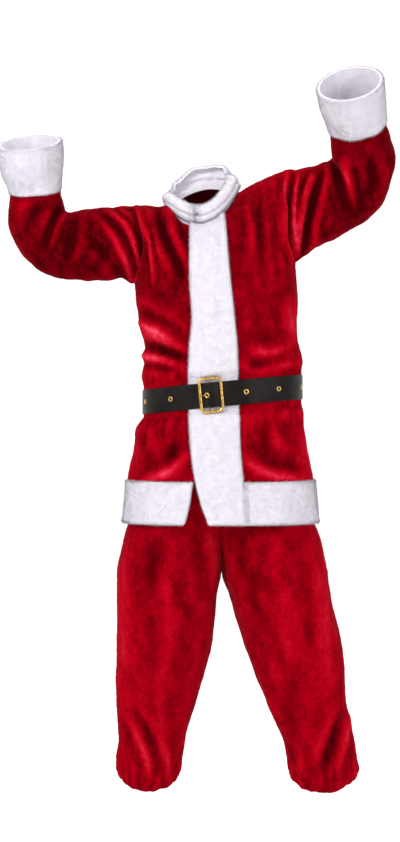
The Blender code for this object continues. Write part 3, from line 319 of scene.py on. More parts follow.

# Painted light patches: a painted highlight where the strength is above 0, painted shade where it is
# below.
# Each row gives the middle of the patch in front view, its two reaches, and how strongly it shows.
PATCHES = (
    (-0.110, -0.325, 0.050, 0.026,  1.00), (-0.120, -0.385, 0.036, 0.014,  0.80),
    ( 0.210, -0.300, 0.022, 0.055,  0.90), ( 0.170, -0.392, 0.050, 0.028,  0.60),
    ( 0.212, -0.080, 0.018, 0.060,  0.50), ( 0.150, -0.180, 0.030, 0.080,  0.25),
    (-0.060, -0.180, 0.030, 0.080, -0.45), (-0.070, -0.080, 0.030, 0.050, -0.30),
    (-0.110, -0.585, 0.060, 0.035, -0.35), (-0.090, -0.655, 0.060, 0.014,  0.40),
    ( 0.175, -0.585, 0.060, 0.035, -0.35), ( 0.170, -0.660, 0.070, 0.012,  0.40),
    ( 0.020, -0.800, 0.016, 0.090,  0.45), (-0.182, -1.000, 0.018, 0.180,  0.45),
    ( 0.275, -1.040, 0.034, 0.170,  0.40), (-0.110, -0.840, 0.060, 0.070, -0.40),
    ( 0.130, -0.860, 0.050, 0.110, -0.25), ( 0.300, -1.290, 0.020, 0.060, -0.35),
    (-0.300, -0.110, 0.090, 0.042, -0.55), ( 0.345, -0.005, 0.060, 0.055, -0.45),
    ( 0.130, -0.080, 0.050, 0.090, -0.22), (-0.120, -0.230, 0.050, 0.050, -0.15),
    ( 0.240, -0.590, 0.018, 0.060,  0.80), (-0.160, -0.600, 0.014, 0.060,  0.45),
    ( 0.346,  0.045, 0.012, 0.050,  0.80), (-0.420, -0.030, 0.018, 0.080,  0.35),
)


# ---- tables and lines -----------------------------------------------------------------------
def read(sizes, column, at):
    """A column of a table at the places at, on a smooth line that never overshoots its rows."""
    x, y = next(iter(sizes.values())), sizes[column]
    step = np.diff(x)
    slope = np.diff(y) / step
    turn = slope[:-1] * slope[1:]
    weight = np.where(turn > 0, 2 * turn / np.where(turn > 0, slope[:-1] + slope[1:], 1), 0)
    tangent = np.concatenate([[slope[0]], weight, [slope[-1]]])
    at = np.clip(at, x[0], x[-1])
    i = np.clip(np.searchsorted(x, at) - 1, 0, len(step) - 1)
    t = (at - x[i]) / step[i]
    ends = y[i] * (1 + 2 * t) * (1 - t) ** 2 + y[i + 1] * t * t * (3 - 2 * t)
    return ends + step[i] * t * (1 - t) * (tangent[i] * (1 - t) - tangent[i + 1] * t)


def eased(t):
    t = np.clip(t, 0, 1)
    return t * t * (3 - 2 * t)


def mixed(a, b, share):
    return a + (b - a) * share


def stacked(x, y, z):
    return np.stack(np.broadcast_arrays(x, y, z), axis=-1)


def joined(*runs):
    """Runs of values end to end, where each begins with the last one's end."""
    return np.concatenate([runs[0], *(run[1:] for run in runs[1:])])


# ---- forms of the jacket --------------------------------------------------------------------
def ring(face, s, z):
    """A point of the body below the armpits. s runs from the right side seam, 0, to the left, 1."""
    x_mid = read(TORSO, "x_mid", z)
    cosine, sine = np.cos(math.pi * s), np.sin(math.pi * s)
    across = -np.sign(cosine) * np.abs(cosine) ** ROUNDNESS * read(TORSO, "half_width", z)
    depth = read(TORSO, "front" if face == FRONT else "back", z)
    y = face * depth * np.clip(sine, 0, 1) ** ROUNDNESS
    return stacked(x_mid + across, y, z + read(TORSO, "rise", z) * across)


def neckline(face, turn):
    """The neck seam, from the right neck point, turn 0, over the front or the back to the left."""
    angle = math.pi * turn
    across = -NECK["half_width"] * np.cos(angle)
    deep = np.sin(angle)
    y = NECK["y"] + face * deep * (NECK["front"] if face == FRONT else NECK["back"])
    fall = -NECK["front_drop"] if face == FRONT else NECK["back_lift"]
    return stacked(NECK["x"] + across, y, NECK["z"] + NECK["rise"] * across + fall * deep ** 2)


def top_edge(face, s):
    """The upper edge of a front or the back: shoulder seam, neckline, shoulder seam."""
    s = np.asarray(s, float)[..., None]
    share = SHOULDER_SHARE
    neck = neckline(face, np.clip((s[..., 0] - share) / (1 - 2 * share), 0, 1))
    right = mixed(np.array(SHOULDER_TIP[RIGHT]), neckline(face, 0.0), np.clip(s / share, 0, 1))
    left = mixed(neckline(face, 1.0), np.array(SHOULDER_TIP[LEFT]),
                 np.clip((s - 1 + share) / share, 0, 1))
    return np.where(s < share, right, np.where(s > 1 - share, left, neck))


def body(face, s, h):
    """A point of the jacket's body. Above the armpits h is a nominal height, which reaches the
    shoulder seam and the neckline at ARMPIT + YOKE."""
    s, h = np.broadcast_arrays(np.asarray(s, float), np.asarray(h, float))
    low = ring(face, s, np.minimum(h, ARMPIT))
    high = top_edge(face, s)
    up = np.clip((h - ARMPIT) / YOKE, 0, 1)
    edge = 1 - eased(np.minimum(s, 1 - s) / ARMHOLE_SPREAD)
    depth = np.where(s < 0.5, ARMHOLE_DEPTH[RIGHT], ARMHOLE_DEPTH[LEFT])
    bulge = edge * np.sin(math.pi * up)
    inward = np.where(s < 0.5, 1.0, -1.0) * ARMHOLE_PULL * bulge
    armhole_climb = mixed(up, (1 - np.cos(math.pi * up)) / 2, 0.4 + 0.6 * up)
    climb = mixed(np.sin(up * math.pi / 2), armhole_climb, edge)
    x = mixed(low[..., 0], high[..., 0], up) + inward
    y = mixed(high[..., 1], low[..., 1], np.cos(up * math.pi / 2)) + face * depth * bulge
    return stacked(x, y, mixed(low[..., 2], high[..., 2], climb))


def s_at(x, h):
    """Where the front reaches a given X at the nominal height h."""
    tries = np.linspace(0.02, 0.98, 385)
    return float(np.interp(x, body(FRONT, tries, h)[:, 0], tries))


def arm_line(side):
    """(length, function of the distance from the shoulder that gives the arm line's place, its
    direction and the direction to the inside of the bend)."""
    arm = ARM[side]
    shoulder, elbow, end = (np.array(arm[k]) for k in ("shoulder", "elbow", "end"))
    d1 = (elbow - shoulder) / np.linalg.norm(elbow - shoulder)
    d2 = (end - elbow) / np.linalg.norm(end - elbow)
    turn = math.acos(d1 @ d2)
    inside = d2 - (d2 @ d1) * d1
    inside /= np.linalg.norm(inside)
    cut = arm["bend"] * math.tan(turn / 2)
    first = np.linalg.norm(elbow - shoulder) - cut
    second = np.linalg.norm(end - elbow) - cut
    arc = arm["bend"] * turn

    def at(distance):
        angle = min(max((distance - first) / arm["bend"], 0), turn)
        start = shoulder + d1 * min(distance, first)
        direction = d1 * math.cos(angle) + inside * math.sin(angle)
        across = inside * math.cos(angle) - d1 * math.sin(angle)
        bent = arm["bend"] * (d1 * math.sin(angle) + inside * (1 - math.cos(angle)))
        return start + bent + d2 * max(distance - first - arc, 0), direction, across

    return first + arc + second, at


def armhole(side, psi):
    """The armhole's loop: psi 0 at the armpit, rising over the front to the shoulder at pi."""
    s = 0.0 if side == RIGHT else 1.0
    rising = np.where(psi <= math.pi, psi, 2 * math.pi - psi) / math.pi
    h = ARMPIT + YOKE * rising
    return np.where((psi <= math.pi)[..., None], body(FRONT, s, h), body(BACK, s, h))


def oval(side, distance, psi, up, fore):
    """A section across the arm line, as points at the angles psi."""
    _, at = arm_line(side)
    centre, direction, inside = at(distance)
    forward = np.cross(direction, inside) * side
    return centre + np.outer(-np.cos(psi) * up, inside) + np.outer(np.sin(psi) * fore, forward)


def sleeve_ring(side, share, psi):
    length, at = arm_line(side)
    distance = share * (length - CUFF)
    sizes = [read(SLEEVE[side], column, share) for column in ("up", "fore")]
    round_ring = oval(side, distance, psi, *sizes)
    carried = armhole(side, psi) + (at(distance)[0] - at(0)[0])
    return mixed(carried, round_ring, eased(share / SLEEVE_BLEND))


def cuff_ring(side, share, psi):
    length, _ = arm_line(side)
    wider = read(CUFF_FLARE, "wider", share)
    sizes = [read(SLEEVE[side], column, 1.0) + wider for column in ("up", "fore")]
    return oval(side, length - CUFF * (1 - share), psi, *sizes)


def trouser_point(side, face, s, z):
    """s runs from the side seam, 0, to the centre seam or the inseam, 1."""
    sizes = TROUSERS[side]
    outer, inner, split, dip = (read(sizes, k, z) for k in ("outer", "inner", "split", "dip"))
    depth = read(sizes, "front" if face == FRONT else "back", z)
    quarter, half = s * math.pi / 2, s * math.pi
    hip_x = mixed(inner, outer, np.clip(np.cos(quarter), 0, 1) ** ROUNDNESS)
    hip_y = np.sin(quarter) ** ROUNDNESS
    leg_x = mixed(inner, outer, (1 + np.cos(half)) / 2)
    leg_y = np.clip(np.sin(half), 0, 1)
    fall = dip * leg_y ** 2 * (0.6 + 0.8 * s) * (1.0 if face == FRONT else 0.3)
    return stacked(mixed(hip_x, leg_x, split), face * depth * mixed(hip_y, leg_y, split), z - fall)


# ---- cloth ----------------------------------------------------------------------------------
class Panel:
    """One cut piece: a grid of points on the garment's inner face, round when it is a tube."""

    def __init__(self, name, points, inside, is_round=False):
        self.name = name
        self.points = np.asarray(points, float)
        self.is_round = is_round
        faces = self.face_normals(self.points)
        middle = (self.points[:-1, :faces.shape[1]] + self.beside(self.points)[1:]) / 2
        self.turned = 1 if ((middle - inside) * faces).sum() > 0 else -1
        self.normals = self.corner_normals(self.points)

    def beside(self, grid):
        return np.roll(grid, -1, axis=1) if self.is_round else grid[:, 1:]

    def closed(self, grid):
        """The grid with its first column again at its end, when the piece is a tube."""
        return np.concatenate([grid, grid[:, :1]], axis=1) if self.is_round else grid

    def face_normals(self, grid):
        beside = self.beside(grid)
        width = beside.shape[1]
        return np.cross(beside[1:] - grid[:-1, :width], grid[1:, :width] - beside[:-1])

    def corner_normals(self, grid):
        """At each point, the sum of the faces' normals round it, out of the hollow."""
        faces = self.face_normals(grid) * self.turned
        total = np.zeros_like(grid)
        here = np.arange(faces.shape[1])
        there = (here + 1) % grid.shape[1]
        for rows in (slice(None, -1), slice(1, None)):
            total[rows, here] += faces
            total[rows, there] += faces
        return total

    def cut_size(self):
        """(width, length, area) of the piece laid flat, before it was draped."""
        grid = self.closed(self.points)
        width = np.linalg.norm(np.diff(grid, axis=1), axis=-1).sum(axis=1).max()
        length = np.linalg.norm(np.diff(grid, axis=0), axis=-1).sum(axis=0).max()
        area = np.linalg.norm(self.face_normals(self.points), axis=-1).sum() / 2
        return float(width), float(length), float(area)


def unit(vectors):
    return vectors / np.maximum(np.linalg.norm(vectors, axis=-1, keepdims=True), 1e-12)


def share_normals(panels):
    """Gives the points where panels meet one normal, so that their walls meet flush at seams."""
    places = np.concatenate([np.round(p.points.reshape(-1, 3), 5) + 0.0 for p in panels])
    sums = np.concatenate([p.normals.reshape(-1, 3) for p in panels])
    _, index = np.unique(places, axis=0, return_inverse=True)
    index = index.reshape(-1)
    total = np.zeros((index.max() + 1, 3))
    np.add.at(total, index, sums)
    normals, start = unit(total[index]), 0
    for panel in panels:
        count = panel.points[..., 0].size
        panel.normals = normals[start:start + count].reshape(panel.points.shape)
        start += count


def curve_through(x0, z0, x1, z1, x2, z2, steps=15):
    """Points on a smooth curve through three places of the front view."""
    start, middle, end = np.array([x0, z0]), np.array([x1, z1]), np.array([x2, z2])
    t = np.linspace(0, 1, steps)[:, None]
    pull = 2 * middle - (start + end) / 2
    return start * (1 - t) ** 2 + pull * 2 * t * (1 - t) + end * t ** 2


def fold_heights(flat, folds):
    """How high the folds stand at places of the front view. A ridge is sharper than a trough, and
    each has a shallow dip or swell on both sides."""
    total = np.zeros(len(flat))
    for *places, height, width in folds:
        line = curve_through(*places)
        low, high = line.min(0) - FOLD_REACH * width, line.max(0) + FOLD_REACH * width
        near = np.flatnonzero(((flat > low) & (flat < high)).all(axis=1))
        if not len(near):
            continue
        start, run = line[:-1], np.diff(line, axis=0)
        to = flat[near][:, None] - start
        t = np.clip((to * run).sum(-1) / (run ** 2).sum(-1), 0, 1)
        gap = np.linalg.norm(to - t[..., None] * run, axis=-1)
        nearest = gap.argmin(axis=1)
        rows = np.arange(len(near))
        along = (nearest + t[rows, nearest]) / len(run)
        u = gap[rows, nearest] / width
        power = RIDGE_POWER if height > 0 else TROUGH_POWER
        dip = SIDE_DIP * np.exp(-((u - DIP_AT) / DIP_REACH) ** 2)
        crest = np.exp(-(STEEPNESS * u) ** power) - dip
        total[near] += height * crest * np.sin(math.pi * along) ** FADE_POWER
    return total


def facing_front(normals):
    """1 where the cloth faces the front and 0 where it faces the back, with a soft change between."""
    return eased(0.5 - normals[:, 1] / 0.6)


def folds_on(points, normals, front_folds, back_folds):
    """The folds' heights, where the front's table gives way to the back's round the sides."""
    flat = points[:, [0, 2]]
    front = facing_front(normals)
    return mixed(fold_heights(flat, back_folds), fold_heights(flat, front_folds), front)


NOISE_GAIN, SEED_STEP = 1.6, 17.3       # plain noise seldom passes 0.6; seeds are far places in it


def lumps(points, size, seed, stretch=(1, 1, 1)):
    """Smooth noise from about -1 to 1, with lumps about the given size apart."""
    scaled = points * np.array(stretch) / size + seed * SEED_STEP
    return np.array([noise.noise(p) for p in scaled.tolist()]) * NOISE_GAIN


CHEST_X, SLEEVE_FROM, SLEEVE_FADE = 0.016, 0.200, 0.060
WAIST_X, WAIST_RADIUS = 0.05, 0.17      # round which the pleats and the flutes are spaced
BAND_STIFF = 0.75                       # the share of the drape that the front band does without
BAND_MARGIN, BAND_FADE = 0.012, 0.02    # how far past its edges that starts, and how soon it is full
BELT_HOLD, BELT_FREE = 0.003, 0.024     # past the belt, where the cloth starts to rise, and how soon
BLOUSE_AT, BLOUSE_REACH = 0.030, 0.018  # the roll of cloth above and below the belt
PLEAT_REACH = 0.045                     # how far from the belt its pleats die away
BELOW_ARMS, ARMS_FADE = -0.20, 0.08     # the height under which pleats and rolls are drawn
SKIRT, SKIRT_FADE = -0.600, 0.14        # the height under which the skirt's flutes open
KNEE, KNEE_FADE = -1.20, 0.06           # the height under which the trousers' folds are deeper
UNDER_JACKET, JACKET_SHARE = -0.770, 0.15   # the trousers' drape above this height, and its share
GATHER_REACH = 0.045                    # of the casings' gathers, up the legs


def belt_distance(x, z):
    """How far above or below the belt's edges a point is; under 0 is beneath the belt."""
    rise, x_mid = read(TORSO, "rise", BELT_LOW), read(TORSO, "x_mid", BELT_LOW)
    height = z - rise * (x - x_mid)
    middle, half = (BELT_LOW + BELT_HIGH) / 2, (BELT_HIGH - BELT_LOW) / 2
    return np.abs(height - middle) - half


def on_sleeve(x):
    """0 on the jacket's body and 1 on the sleeves."""
    return eased((np.abs(x - CHEST_X) - SLEEVE_FROM) / SLEEVE_FADE)


def jacket_drape(points, normals):
    """(how far the jacket's cloth stands off its form at each point, how it folds there)."""
    x, y, z = points.T
    folds = folds_on(points, normals, JACKET_FRONT, JACKET_BACK)
    folds *= mixed(JACKET_GAIN, SLEEVE_GAIN, on_sleeve(x))
    band_right, band_left = (read(FRONT_LINES, k, z) for k in ("band_right", "band_left"))
    from_right = eased((x - band_right + BAND_MARGIN) / BAND_FADE)
    from_left = eased((band_left + BAND_MARGIN - x) / BAND_FADE)
    calm = 1 - BAND_STIFF * (from_right * from_left) * (y < 0)
    folds = folds * calm
    away = belt_distance(x, z)
    free = eased((away - BELT_HOLD) / BELT_FREE)
    round_waist = stacked(np.arctan2(y, x - WAIST_X) * WAIST_RADIUS, 0 * x, 0 * x)
    pleats = lumps(round_waist, 0.017, 3)
    body_only = eased((BELOW_ARMS - z) / ARMS_FADE)
    # Small lumps all over, then pleats and a roll of cloth by the belt, then flutes in the skirt.
    small = 0.0034 * lumps(points, 0.085, 1) + 0.0016 * lumps(points, 0.030, 2, (1, 1, 0.6))
    drape = (folds + small * calm) * free
    drape += body_only * free * calm * 0.0030 * pleats * np.exp(-(away / PLEAT_REACH) ** 2)
    drape += body_only * free * 0.0030 * np.exp(-((away - BLOUSE_AT) / BLOUSE_REACH) ** 2)
    flutes = lumps(round_waist, 0.060, 4)
    drape += 0.0045 * flutes * eased((SKIRT - z) / SKIRT_FADE) * calm
    return drape, folds * free


def trouser_drape(points, normals):
    """The same for the trousers, calm under the jacket and gathered in at the ankles."""
    z = points[:, 2]
    folds = folds_on(points, normals, TROUSERS_FRONT, TROUSERS_BACK)
    folds *= mixed(TROUSER_GAIN, 1.6 * TROUSER_GAIN, eased((KNEE - z) / KNEE_FADE))
    below = eased((UNDER_JACKET - z) / 0.05)
    drape = (folds + 0.0040 * lumps(points, 0.095, 5, (1, 1, 0.6))
             + 0.0018 * lumps(points, 0.032, 6, (1, 1, 0.5))) * mixed(JACKET_SHARE, 1.0, below)
    ankle_hem = TROUSERS[RIGHT]["z"].min()
    gathered = np.exp(-((z - ankle_hem) / GATHER_REACH) ** 2)
    drape += 0.0032 * gathered * lumps(points, 0.013, 7, (1, 1, 0.12))
    return drape, folds * below


def softened(grid, times, is_round):
    """The grid's values, each mixed with its four neighbours' several times."""
    for _ in range(times):
        tall = np.pad(grid, ((1, 1), (0, 0)), mode="edge")
        wide = np.pad(grid, ((0, 0), (1, 1)), mode="wrap" if is_round else "edge")
        grid = (grid * 2 + tall[:-2] + tall[2:] + wide[:, :-2] + wide[:, 2:]) / 6
    return grid


FOLD_HEIGHT, CREST_HEIGHT = 0.013, 0.0014   # that would each change the painted light and shade by 1, unclipped
CREST_SHARE = 0.55                      # how strongly the small crests count beside the folds
CHEST_PAINTED_SHADE, SLEEVE_PAINTED_SHADE = 0.28, 0.34    # painted shade: the chest is drawn darker than the skirt, and the sleeves more so
CHEST_FROM, CHEST_FADE = -0.44, 0.05
PATCH_BEHIND = 0.55                     # how strongly the patches show on the back


def painted_shading_at(points, normals, folds, crests):
    """How much painted light each point gets: painted highlights on crests, painted shade in troughs,
    on the chest and more on the sleeves, and in the listed patches painted highlights above 0 and painted
    shade below."""
    x, _, z = points.T
    light = np.clip(folds / FOLD_HEIGHT, -0.6, 0.35)
    light = light + np.clip(crests / CREST_HEIGHT, -0.6, 1.5) * CREST_SHARE
    light -= (CHEST_PAINTED_SHADE + SLEEVE_PAINTED_SHADE * on_sleeve(x)) * eased((z - CHEST_FROM) / CHEST_FADE)
    for x0, z0, reach_x, reach_z, strength in PATCHES:
        spot = np.exp(-((x - x0) / reach_x) ** 2 - ((z - z0) / reach_z) ** 2)
        light += strength * spot * mixed(PATCH_BEHIND, 1.0, facing_front(normals))
    return light


# Where the lines beside an open edge lie between the edge's line and the next one, at each end.
RIM_NEAR, RIM_FAR = (0.22, 0.58), (0.42, 0.78)
RIM_ROWS = len(RIM_NEAR) + len(RIM_FAR)


def with_rims(panel, grids):
    """The grids with two more lines close to each open edge, where the wall rounds over."""
    def lines(grid, axis):
        grid = np.moveaxis(grid, axis, 0)
        near = [mixed(grid[0], grid[1], t) for t in RIM_NEAR]
        far = [mixed(grid[-2], grid[-1], t) for t in RIM_FAR]
        return np.moveaxis(np.stack([grid[0], *near, *grid[1:-1], *far, grid[-1]]), 0, axis)

    grids = [lines(grid, 0) for grid in grids]
    return grids if panel.is_round else [lines(grid, 1) for grid in grids]


def edge_distance(panel, grid, flush):
    """Each point's distance from the piece's nearest open edge, along the cloth. flush says at
    which rows, from the bottom, the last column's edge runs on into the next piece unrounded."""
    found = np.full(grid.shape[:2], np.inf)
    for axis in (0,) if panel.is_round else (0, 1):
        steps = np.linalg.norm(np.diff(grid, axis=axis), axis=-1)
        start = np.zeros_like(np.take(steps, [0], axis))
        run = np.cumsum(np.concatenate([start, steps], axis), axis)
        to_end = np.take(run, [-1], axis) - run
        if axis == 1:
            to_end[:flush] = np.inf
        found = np.minimum(found, np.minimum(run, to_end))
    return found


def with_round_corner(grid, radius=0.012):
    """The grid with the lowest corner of its first column rounded off."""
    run = np.linalg.norm(grid[0] - grid[0, 0], axis=-1)
    cut = radius - np.sqrt(np.clip(radius ** 2 - np.clip(radius - run, 0, radius) ** 2, 0, None))
    height = np.linalg.norm(grid[:, 0] - grid[0, 0], axis=-1)
    keep = np.clip(1 - height / (4 * radius), 0, 1)
    return grid + np.array([0, 0, 1.0]) * (keep[:, None] * cut)[..., None]


def smooth_mesh(name, points, faces, sharp_degrees):
    """A mesh with its faces turned outward, smooth except at edges sharper than the angle."""
    mesh = bpy.data.meshes.new(name)
    mesh.from_pydata(points, [], faces)
    work = bmesh.new()
    work.from_mesh(mesh)
    bmesh.ops.recalc_face_normals(work, faces=work.faces)
    work.to_mesh(mesh)
    work.free()
    mesh.shade_smooth()
    mesh.set_sharp_from_angle(angle=math.radians(sharp_degrees))
    return mesh


def wall_faces(panel, rows, columns):
    """The faces of a closed wall whose inner side's points come first and the outer side's next."""
    spans = columns if panel.is_round else columns - 1
    number = np.arange(rows * columns).reshape(rows, columns)
    beside = np.roll(number, -1, axis=1)[:, :spans]
    here = number[:, :spans]
    quads = np.stack([here[:-1], beside[:-1], beside[1:], here[1:]], axis=-1).reshape(-1, 4)
    count = rows * columns
    rims = [(here[k], beside[k]) for k in (0, -1)]
    if not panel.is_round:
        rims += [(number[:-1, k], number[1:, k]) for k in (0, -1)]
    sides = [np.stack([a, b, b + count, a + count], axis=-1) for a, b in rims]
    return np.concatenate([quads + count, quads[:, ::-1], *sides])


# How a wall ends at its open edges: the share of its thickness that is left there, and how far in
# it is rounded. roughness is how uneven its outer side is, as a share of the thickness.
PLUSH_EDGE = dict(edge=0.45, reach=0.0045, roughness=0.20)
FLEECE_EDGE = dict(edge=0.45, reach=0.008, roughness=0.012)
CUFF_EDGE = dict(edge=0.5, reach=0.008, roughness=0.012)
COLLAR_EDGE = dict(edge=0.6, reach=0.006, roughness=0.04)
SHEETS = []


def cloth(panel, drape, finish, slot, held, thickness, edge, reach, roughness, standoff=0.0,
          soft=None, flush=0):
    """The panel as a closed wall with rounded edges, in place of the solid of the same name. Its
    inner side stands off the form by standoff and by the drape, where soft is the drape's share."""
    soft = np.ones(panel.points.shape[:2]) if soft is None else soft
    standoff = np.broadcast_to(standoff, panel.points.shape[:2])
    grid, normals, soft, standoff = with_rims(
        panel, [panel.points, panel.normals, soft[..., None], standoff[..., None]])
    flat, out = grid.reshape(-1, 3), unit(normals).reshape(-1, 3)
    moved, folds = drape(flat, out)
    moved = moved * soft.reshape(-1)
    rounding = 1 - np.clip(edge_distance(panel, grid, flush).reshape(-1) / reach, 0, 1)
    wall = thickness(flat) * mixed(edge, 1.0, np.sqrt(1 - rounding ** 2))
    wall *= 1 + roughness * lumps(flat, 0.0085, 8) + roughness * 0.5 * lumps(flat, 0.019, 9)
    inner = flat + out * (standoff.reshape(-1) + moved)[:, None]
    outer = inner + out * wall[:, None]
    faces = wall_faces(panel, *grid.shape[:2])
    mesh = smooth_mesh(panel.name, np.concatenate([inner, outer]).tolist(), faces.tolist(), 65)
    # Painted light: the drape's crests and folds give the plush painted highlights on ridges and painted
    # shade in troughs.
    step = moved.reshape(grid.shape[:2])
    crests = softened(step, 1, panel.is_round) - softened(step, 9, panel.is_round)
    light = painted_shading_at(flat, out, folds, crests.reshape(-1))
    painted_shading = mesh.attributes.new("painted_shading", "FLOAT", "POINT")
    painted_shading.data.foreach_set("value", np.concatenate([light, light]).astype(np.float32))
    piece = add_piece(panel.name + "_cloth", mesh, finish, slot, panel.name)
    panel.outer = outer.reshape(grid.shape)
    width, length, area = panel.cut_size()
    SHEETS.append(dict(obj=piece, flat=(width, length), area=area, held=held))


def add_piece(name, mesh, finish, slot, *nodes):
    """A mesh as a piece that rides on the suit, with a finish, in place of the nodes."""
    mesh.materials.append(finish)
    piece = bpy.data.objects.new(name, mesh)
    bpy.context.scene.collection.objects.link(piece)
    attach(piece, "root")
    if nodes:
        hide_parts(*nodes)
    return piece


# ---- materials ------------------------------------------------------------------------------
def colour(text):
    """An sRGB hex colour as linear RGBA."""
    parts = [int(text[i:i + 2], 16) / 255 for i in (1, 3, 5)]
    return (*(c / 12.92 if c <= 0.04045 else ((c + 0.055) / 1.055) ** 2.4 for c in parts), 1.0)


def add_node(tree, kind, inputs=(), stops=(), **settings):
    """Adds a node: inputs are values or the sockets that feed them, stops a ramp's colours."""
    made = tree.nodes.new(kind)
    for name, value in settings.items():
        setattr(made, name, value)
    for name, value in dict(inputs).items():
        if isinstance(value, bpy.types.NodeSocket):
            tree.links.new(value, made.inputs[name])
        else:
            made.inputs[name].default_value = value
    for i, (position, text) in enumerate(stops):
        elements = made.color_ramp.elements
        element = elements[i] if i < 2 else elements.new(position)
        element.position, element.color = position, colour(text)
    return made


def noise_at(tree, place, size, detail, **more):
    """A noise node's value, with marks about size across."""
    inputs = {"Vector": place, "Scale": 1 / size, "Detail": detail, **more}
    return add_node(tree, "ShaderNodeTexNoise", inputs).outputs[0]


def weighted(tree, value, weight, added):
    """value * weight + added, as a socket."""
    inputs = {0: value, 1: weight, 2: added}
    return add_node(tree, "ShaderNodeMath", inputs, operation="MULTIPLY_ADD").outputs[0]


def new_material(name, **sockets):
    """A material with its shader's values set: (material, its node tree, its shader)."""
    made = bpy.data.materials.new(name)
    made.use_nodes = True
    shader = made.node_tree.nodes["Principled BSDF"]
    for socket, value in sockets.items():
        shader.inputs[socket.replace("_", " ")].default_value = value
    return made, made.node_tree, shader


def own_place(tree):
    return add_node(tree, "ShaderNodeTexCoord").outputs["Object"]


def feed(tree, shader, **made):
    """Feeds nodes' first outputs to the shader's inputs of those names."""
    for socket, node in made.items():
        tree.links.new(node.outputs[0], shader.inputs[socket.replace("_", " ")])


def red_plush():
    """Polyester velour plush with a deep crushed pile: it is dark looked straight into, and its tips
    catch light at the edges. Its colour also carries painted highlights over crests and painted shade in
    troughs."""
    made, tree, shader = new_material(
        "red_crushed_velour_plush", Roughness=0.8, Specular_IOR_Level=0.0,
        Sheen_Weight=0.28, Sheen_Roughness=0.30, Sheen_Tint=colour("#ff4858"))
    place = own_place(tree)
    upright = add_node(tree, "ShaderNodeMapping", {"Vector": place, "Scale": (1, 1, 0.75)}).outputs[0]
    # Crush marks are 80 mm across, brush strokes 14 mm and tufts of pile 4 mm.
    marks = noise_at(tree, place, 0.080, 3.0, Distortion=0.7)
    strokes = noise_at(tree, upright, 0.014, 4.0, Roughness=0.62, Distortion=0.4)
    tufts = noise_at(tree, upright, 0.0040, 2.0)
    # The painted_shading attribute adds painted highlights and painted shade to the colour; the ramp's
    # pink top stops show where it is high.
    painted_shading = add_node(tree, "ShaderNodeAttribute", attribute_name="painted_shading").outputs["Fac"]
    value = weighted(tree, marks, 0.34, -0.14)
    for part, weight in ((strokes, 0.42), (tufts, 0.30), (painted_shading, 0.30)):
        value = weighted(tree, part, weight, value)
    shade = add_node(tree, "ShaderNodeValToRGB", {"Fac": value},
                     stops=((0.05, "#380004"), (1.0, "#d4475a"), (0.30, "#6e000a"), (0.47, "#900011"),
                            (0.64, "#a2081a"), (0.80, "#b81c34")))
    broad = add_node(tree, "ShaderNodeBump", {"Height": strokes, "Strength": 0.6, "Distance": 0.006})
    fine = add_node(tree, "ShaderNodeBump", {"Height": tufts, "Strength": 0.7, "Distance": 0.0016,
                                             "Normal": broad.outputs[0]})
    feed(tree, shader, Base_Color=shade, Normal=fine)
    return made


def white_fleece():
    """Polyester sherpa fleece: a loose white pile in small curls, with painted shade, faintly cool, in
    its hollows.
    """
    made, tree, shader = new_material("white_sherpa_fleece", Roughness=0.95, Specular_IOR_Level=0.1,
                                      Sheen_Weight=0.25, Sheen_Roughness=0.5)
    place = own_place(tree)
    curls = noise_at(tree, place, 0.0035, 3.0, Roughness=0.6)
    clumps = noise_at(tree, place, 0.016, 3.0)
    # Painted shade: the noises that bump the curls and clumps also darken and cool the colour where they
    # are low.
    shade = add_node(tree, "ShaderNodeValToRGB", {"Fac": weighted(tree, curls, 0.6, clumps)},
                     stops=((0.40, "#c6c1cb"), (1.0, "#d8d4dc"), (0.75, "#d1cdd5")))
    broad = add_node(tree, "ShaderNodeBump", {"Height": clumps, "Strength": 0.10, "Distance": 0.003})
    fine = add_node(tree, "ShaderNodeBump", {"Height": curls, "Strength": 0.30, "Distance": 0.0010,
                                             "Normal": broad.outputs[0]})
    feed(tree, shader, Base_Color=shade, Normal=fine)
    return made


def fleece_fibre():
    """The same fleece's loose fibres: matt, and a little darker so that their tips don't glare."""
    return new_material("white_polyester_fibre", Base_Color=colour("#cdc9d2"), Roughness=0.9,
                        Specular_IOR_Level=0.1)[0]


def leatherette():
    """Black PVC leatherette with an embossed grain about 2 mm across, and a soft shine."""
    made, tree, shader = new_material("black_embossed_leatherette", Roughness=0.4, IOR=1.5,
                                      Specular_IOR_Level=0.10)
    place = own_place(tree)
    grain = add_node(tree, "ShaderNodeTexVoronoi", {"Vector": place, "Scale": 1 / 0.0022}).outputs[0]
    wear = noise_at(tree, place, 0.030, 4.0)
    shade = add_node(tree, "ShaderNodeValToRGB", {"Fac": wear},
                     stops=((0.35, "#0a0706"), (0.75, "#1a1412")))
    rough = add_node(tree, "ShaderNodeMapRange", {"Value": wear, "To Min": 0.30, "To Max": 0.48})
    bump = add_node(tree, "ShaderNodeBump", {"Height": grain, "Strength": 0.2, "Distance": 0.0003})
    feed(tree, shader, Base_Color=shade, Roughness=rough, Normal=bump)
    return made


def brass():
    """Brass-plated zinc casting: warm and bright, a little uneven where it is handled."""
    made, tree, shader = new_material("brass_plated_casting", Metallic=1.0, Roughness=0.26)
    tarnish = noise_at(tree, own_place(tree), 0.006, 4.0)
    shade = add_node(tree, "ShaderNodeValToRGB", {"Fac": tarnish},
                     stops=((0.3, "#8f6a2c"), (0.75, "#d8b56a")))
    rough = add_node(tree, "ShaderNodeMapRange", {"Value": tarnish, "To Min": 0.36, "To Max": 0.18})
    feed(tree, shader, Base_Color=shade, Roughness=rough)
    return made


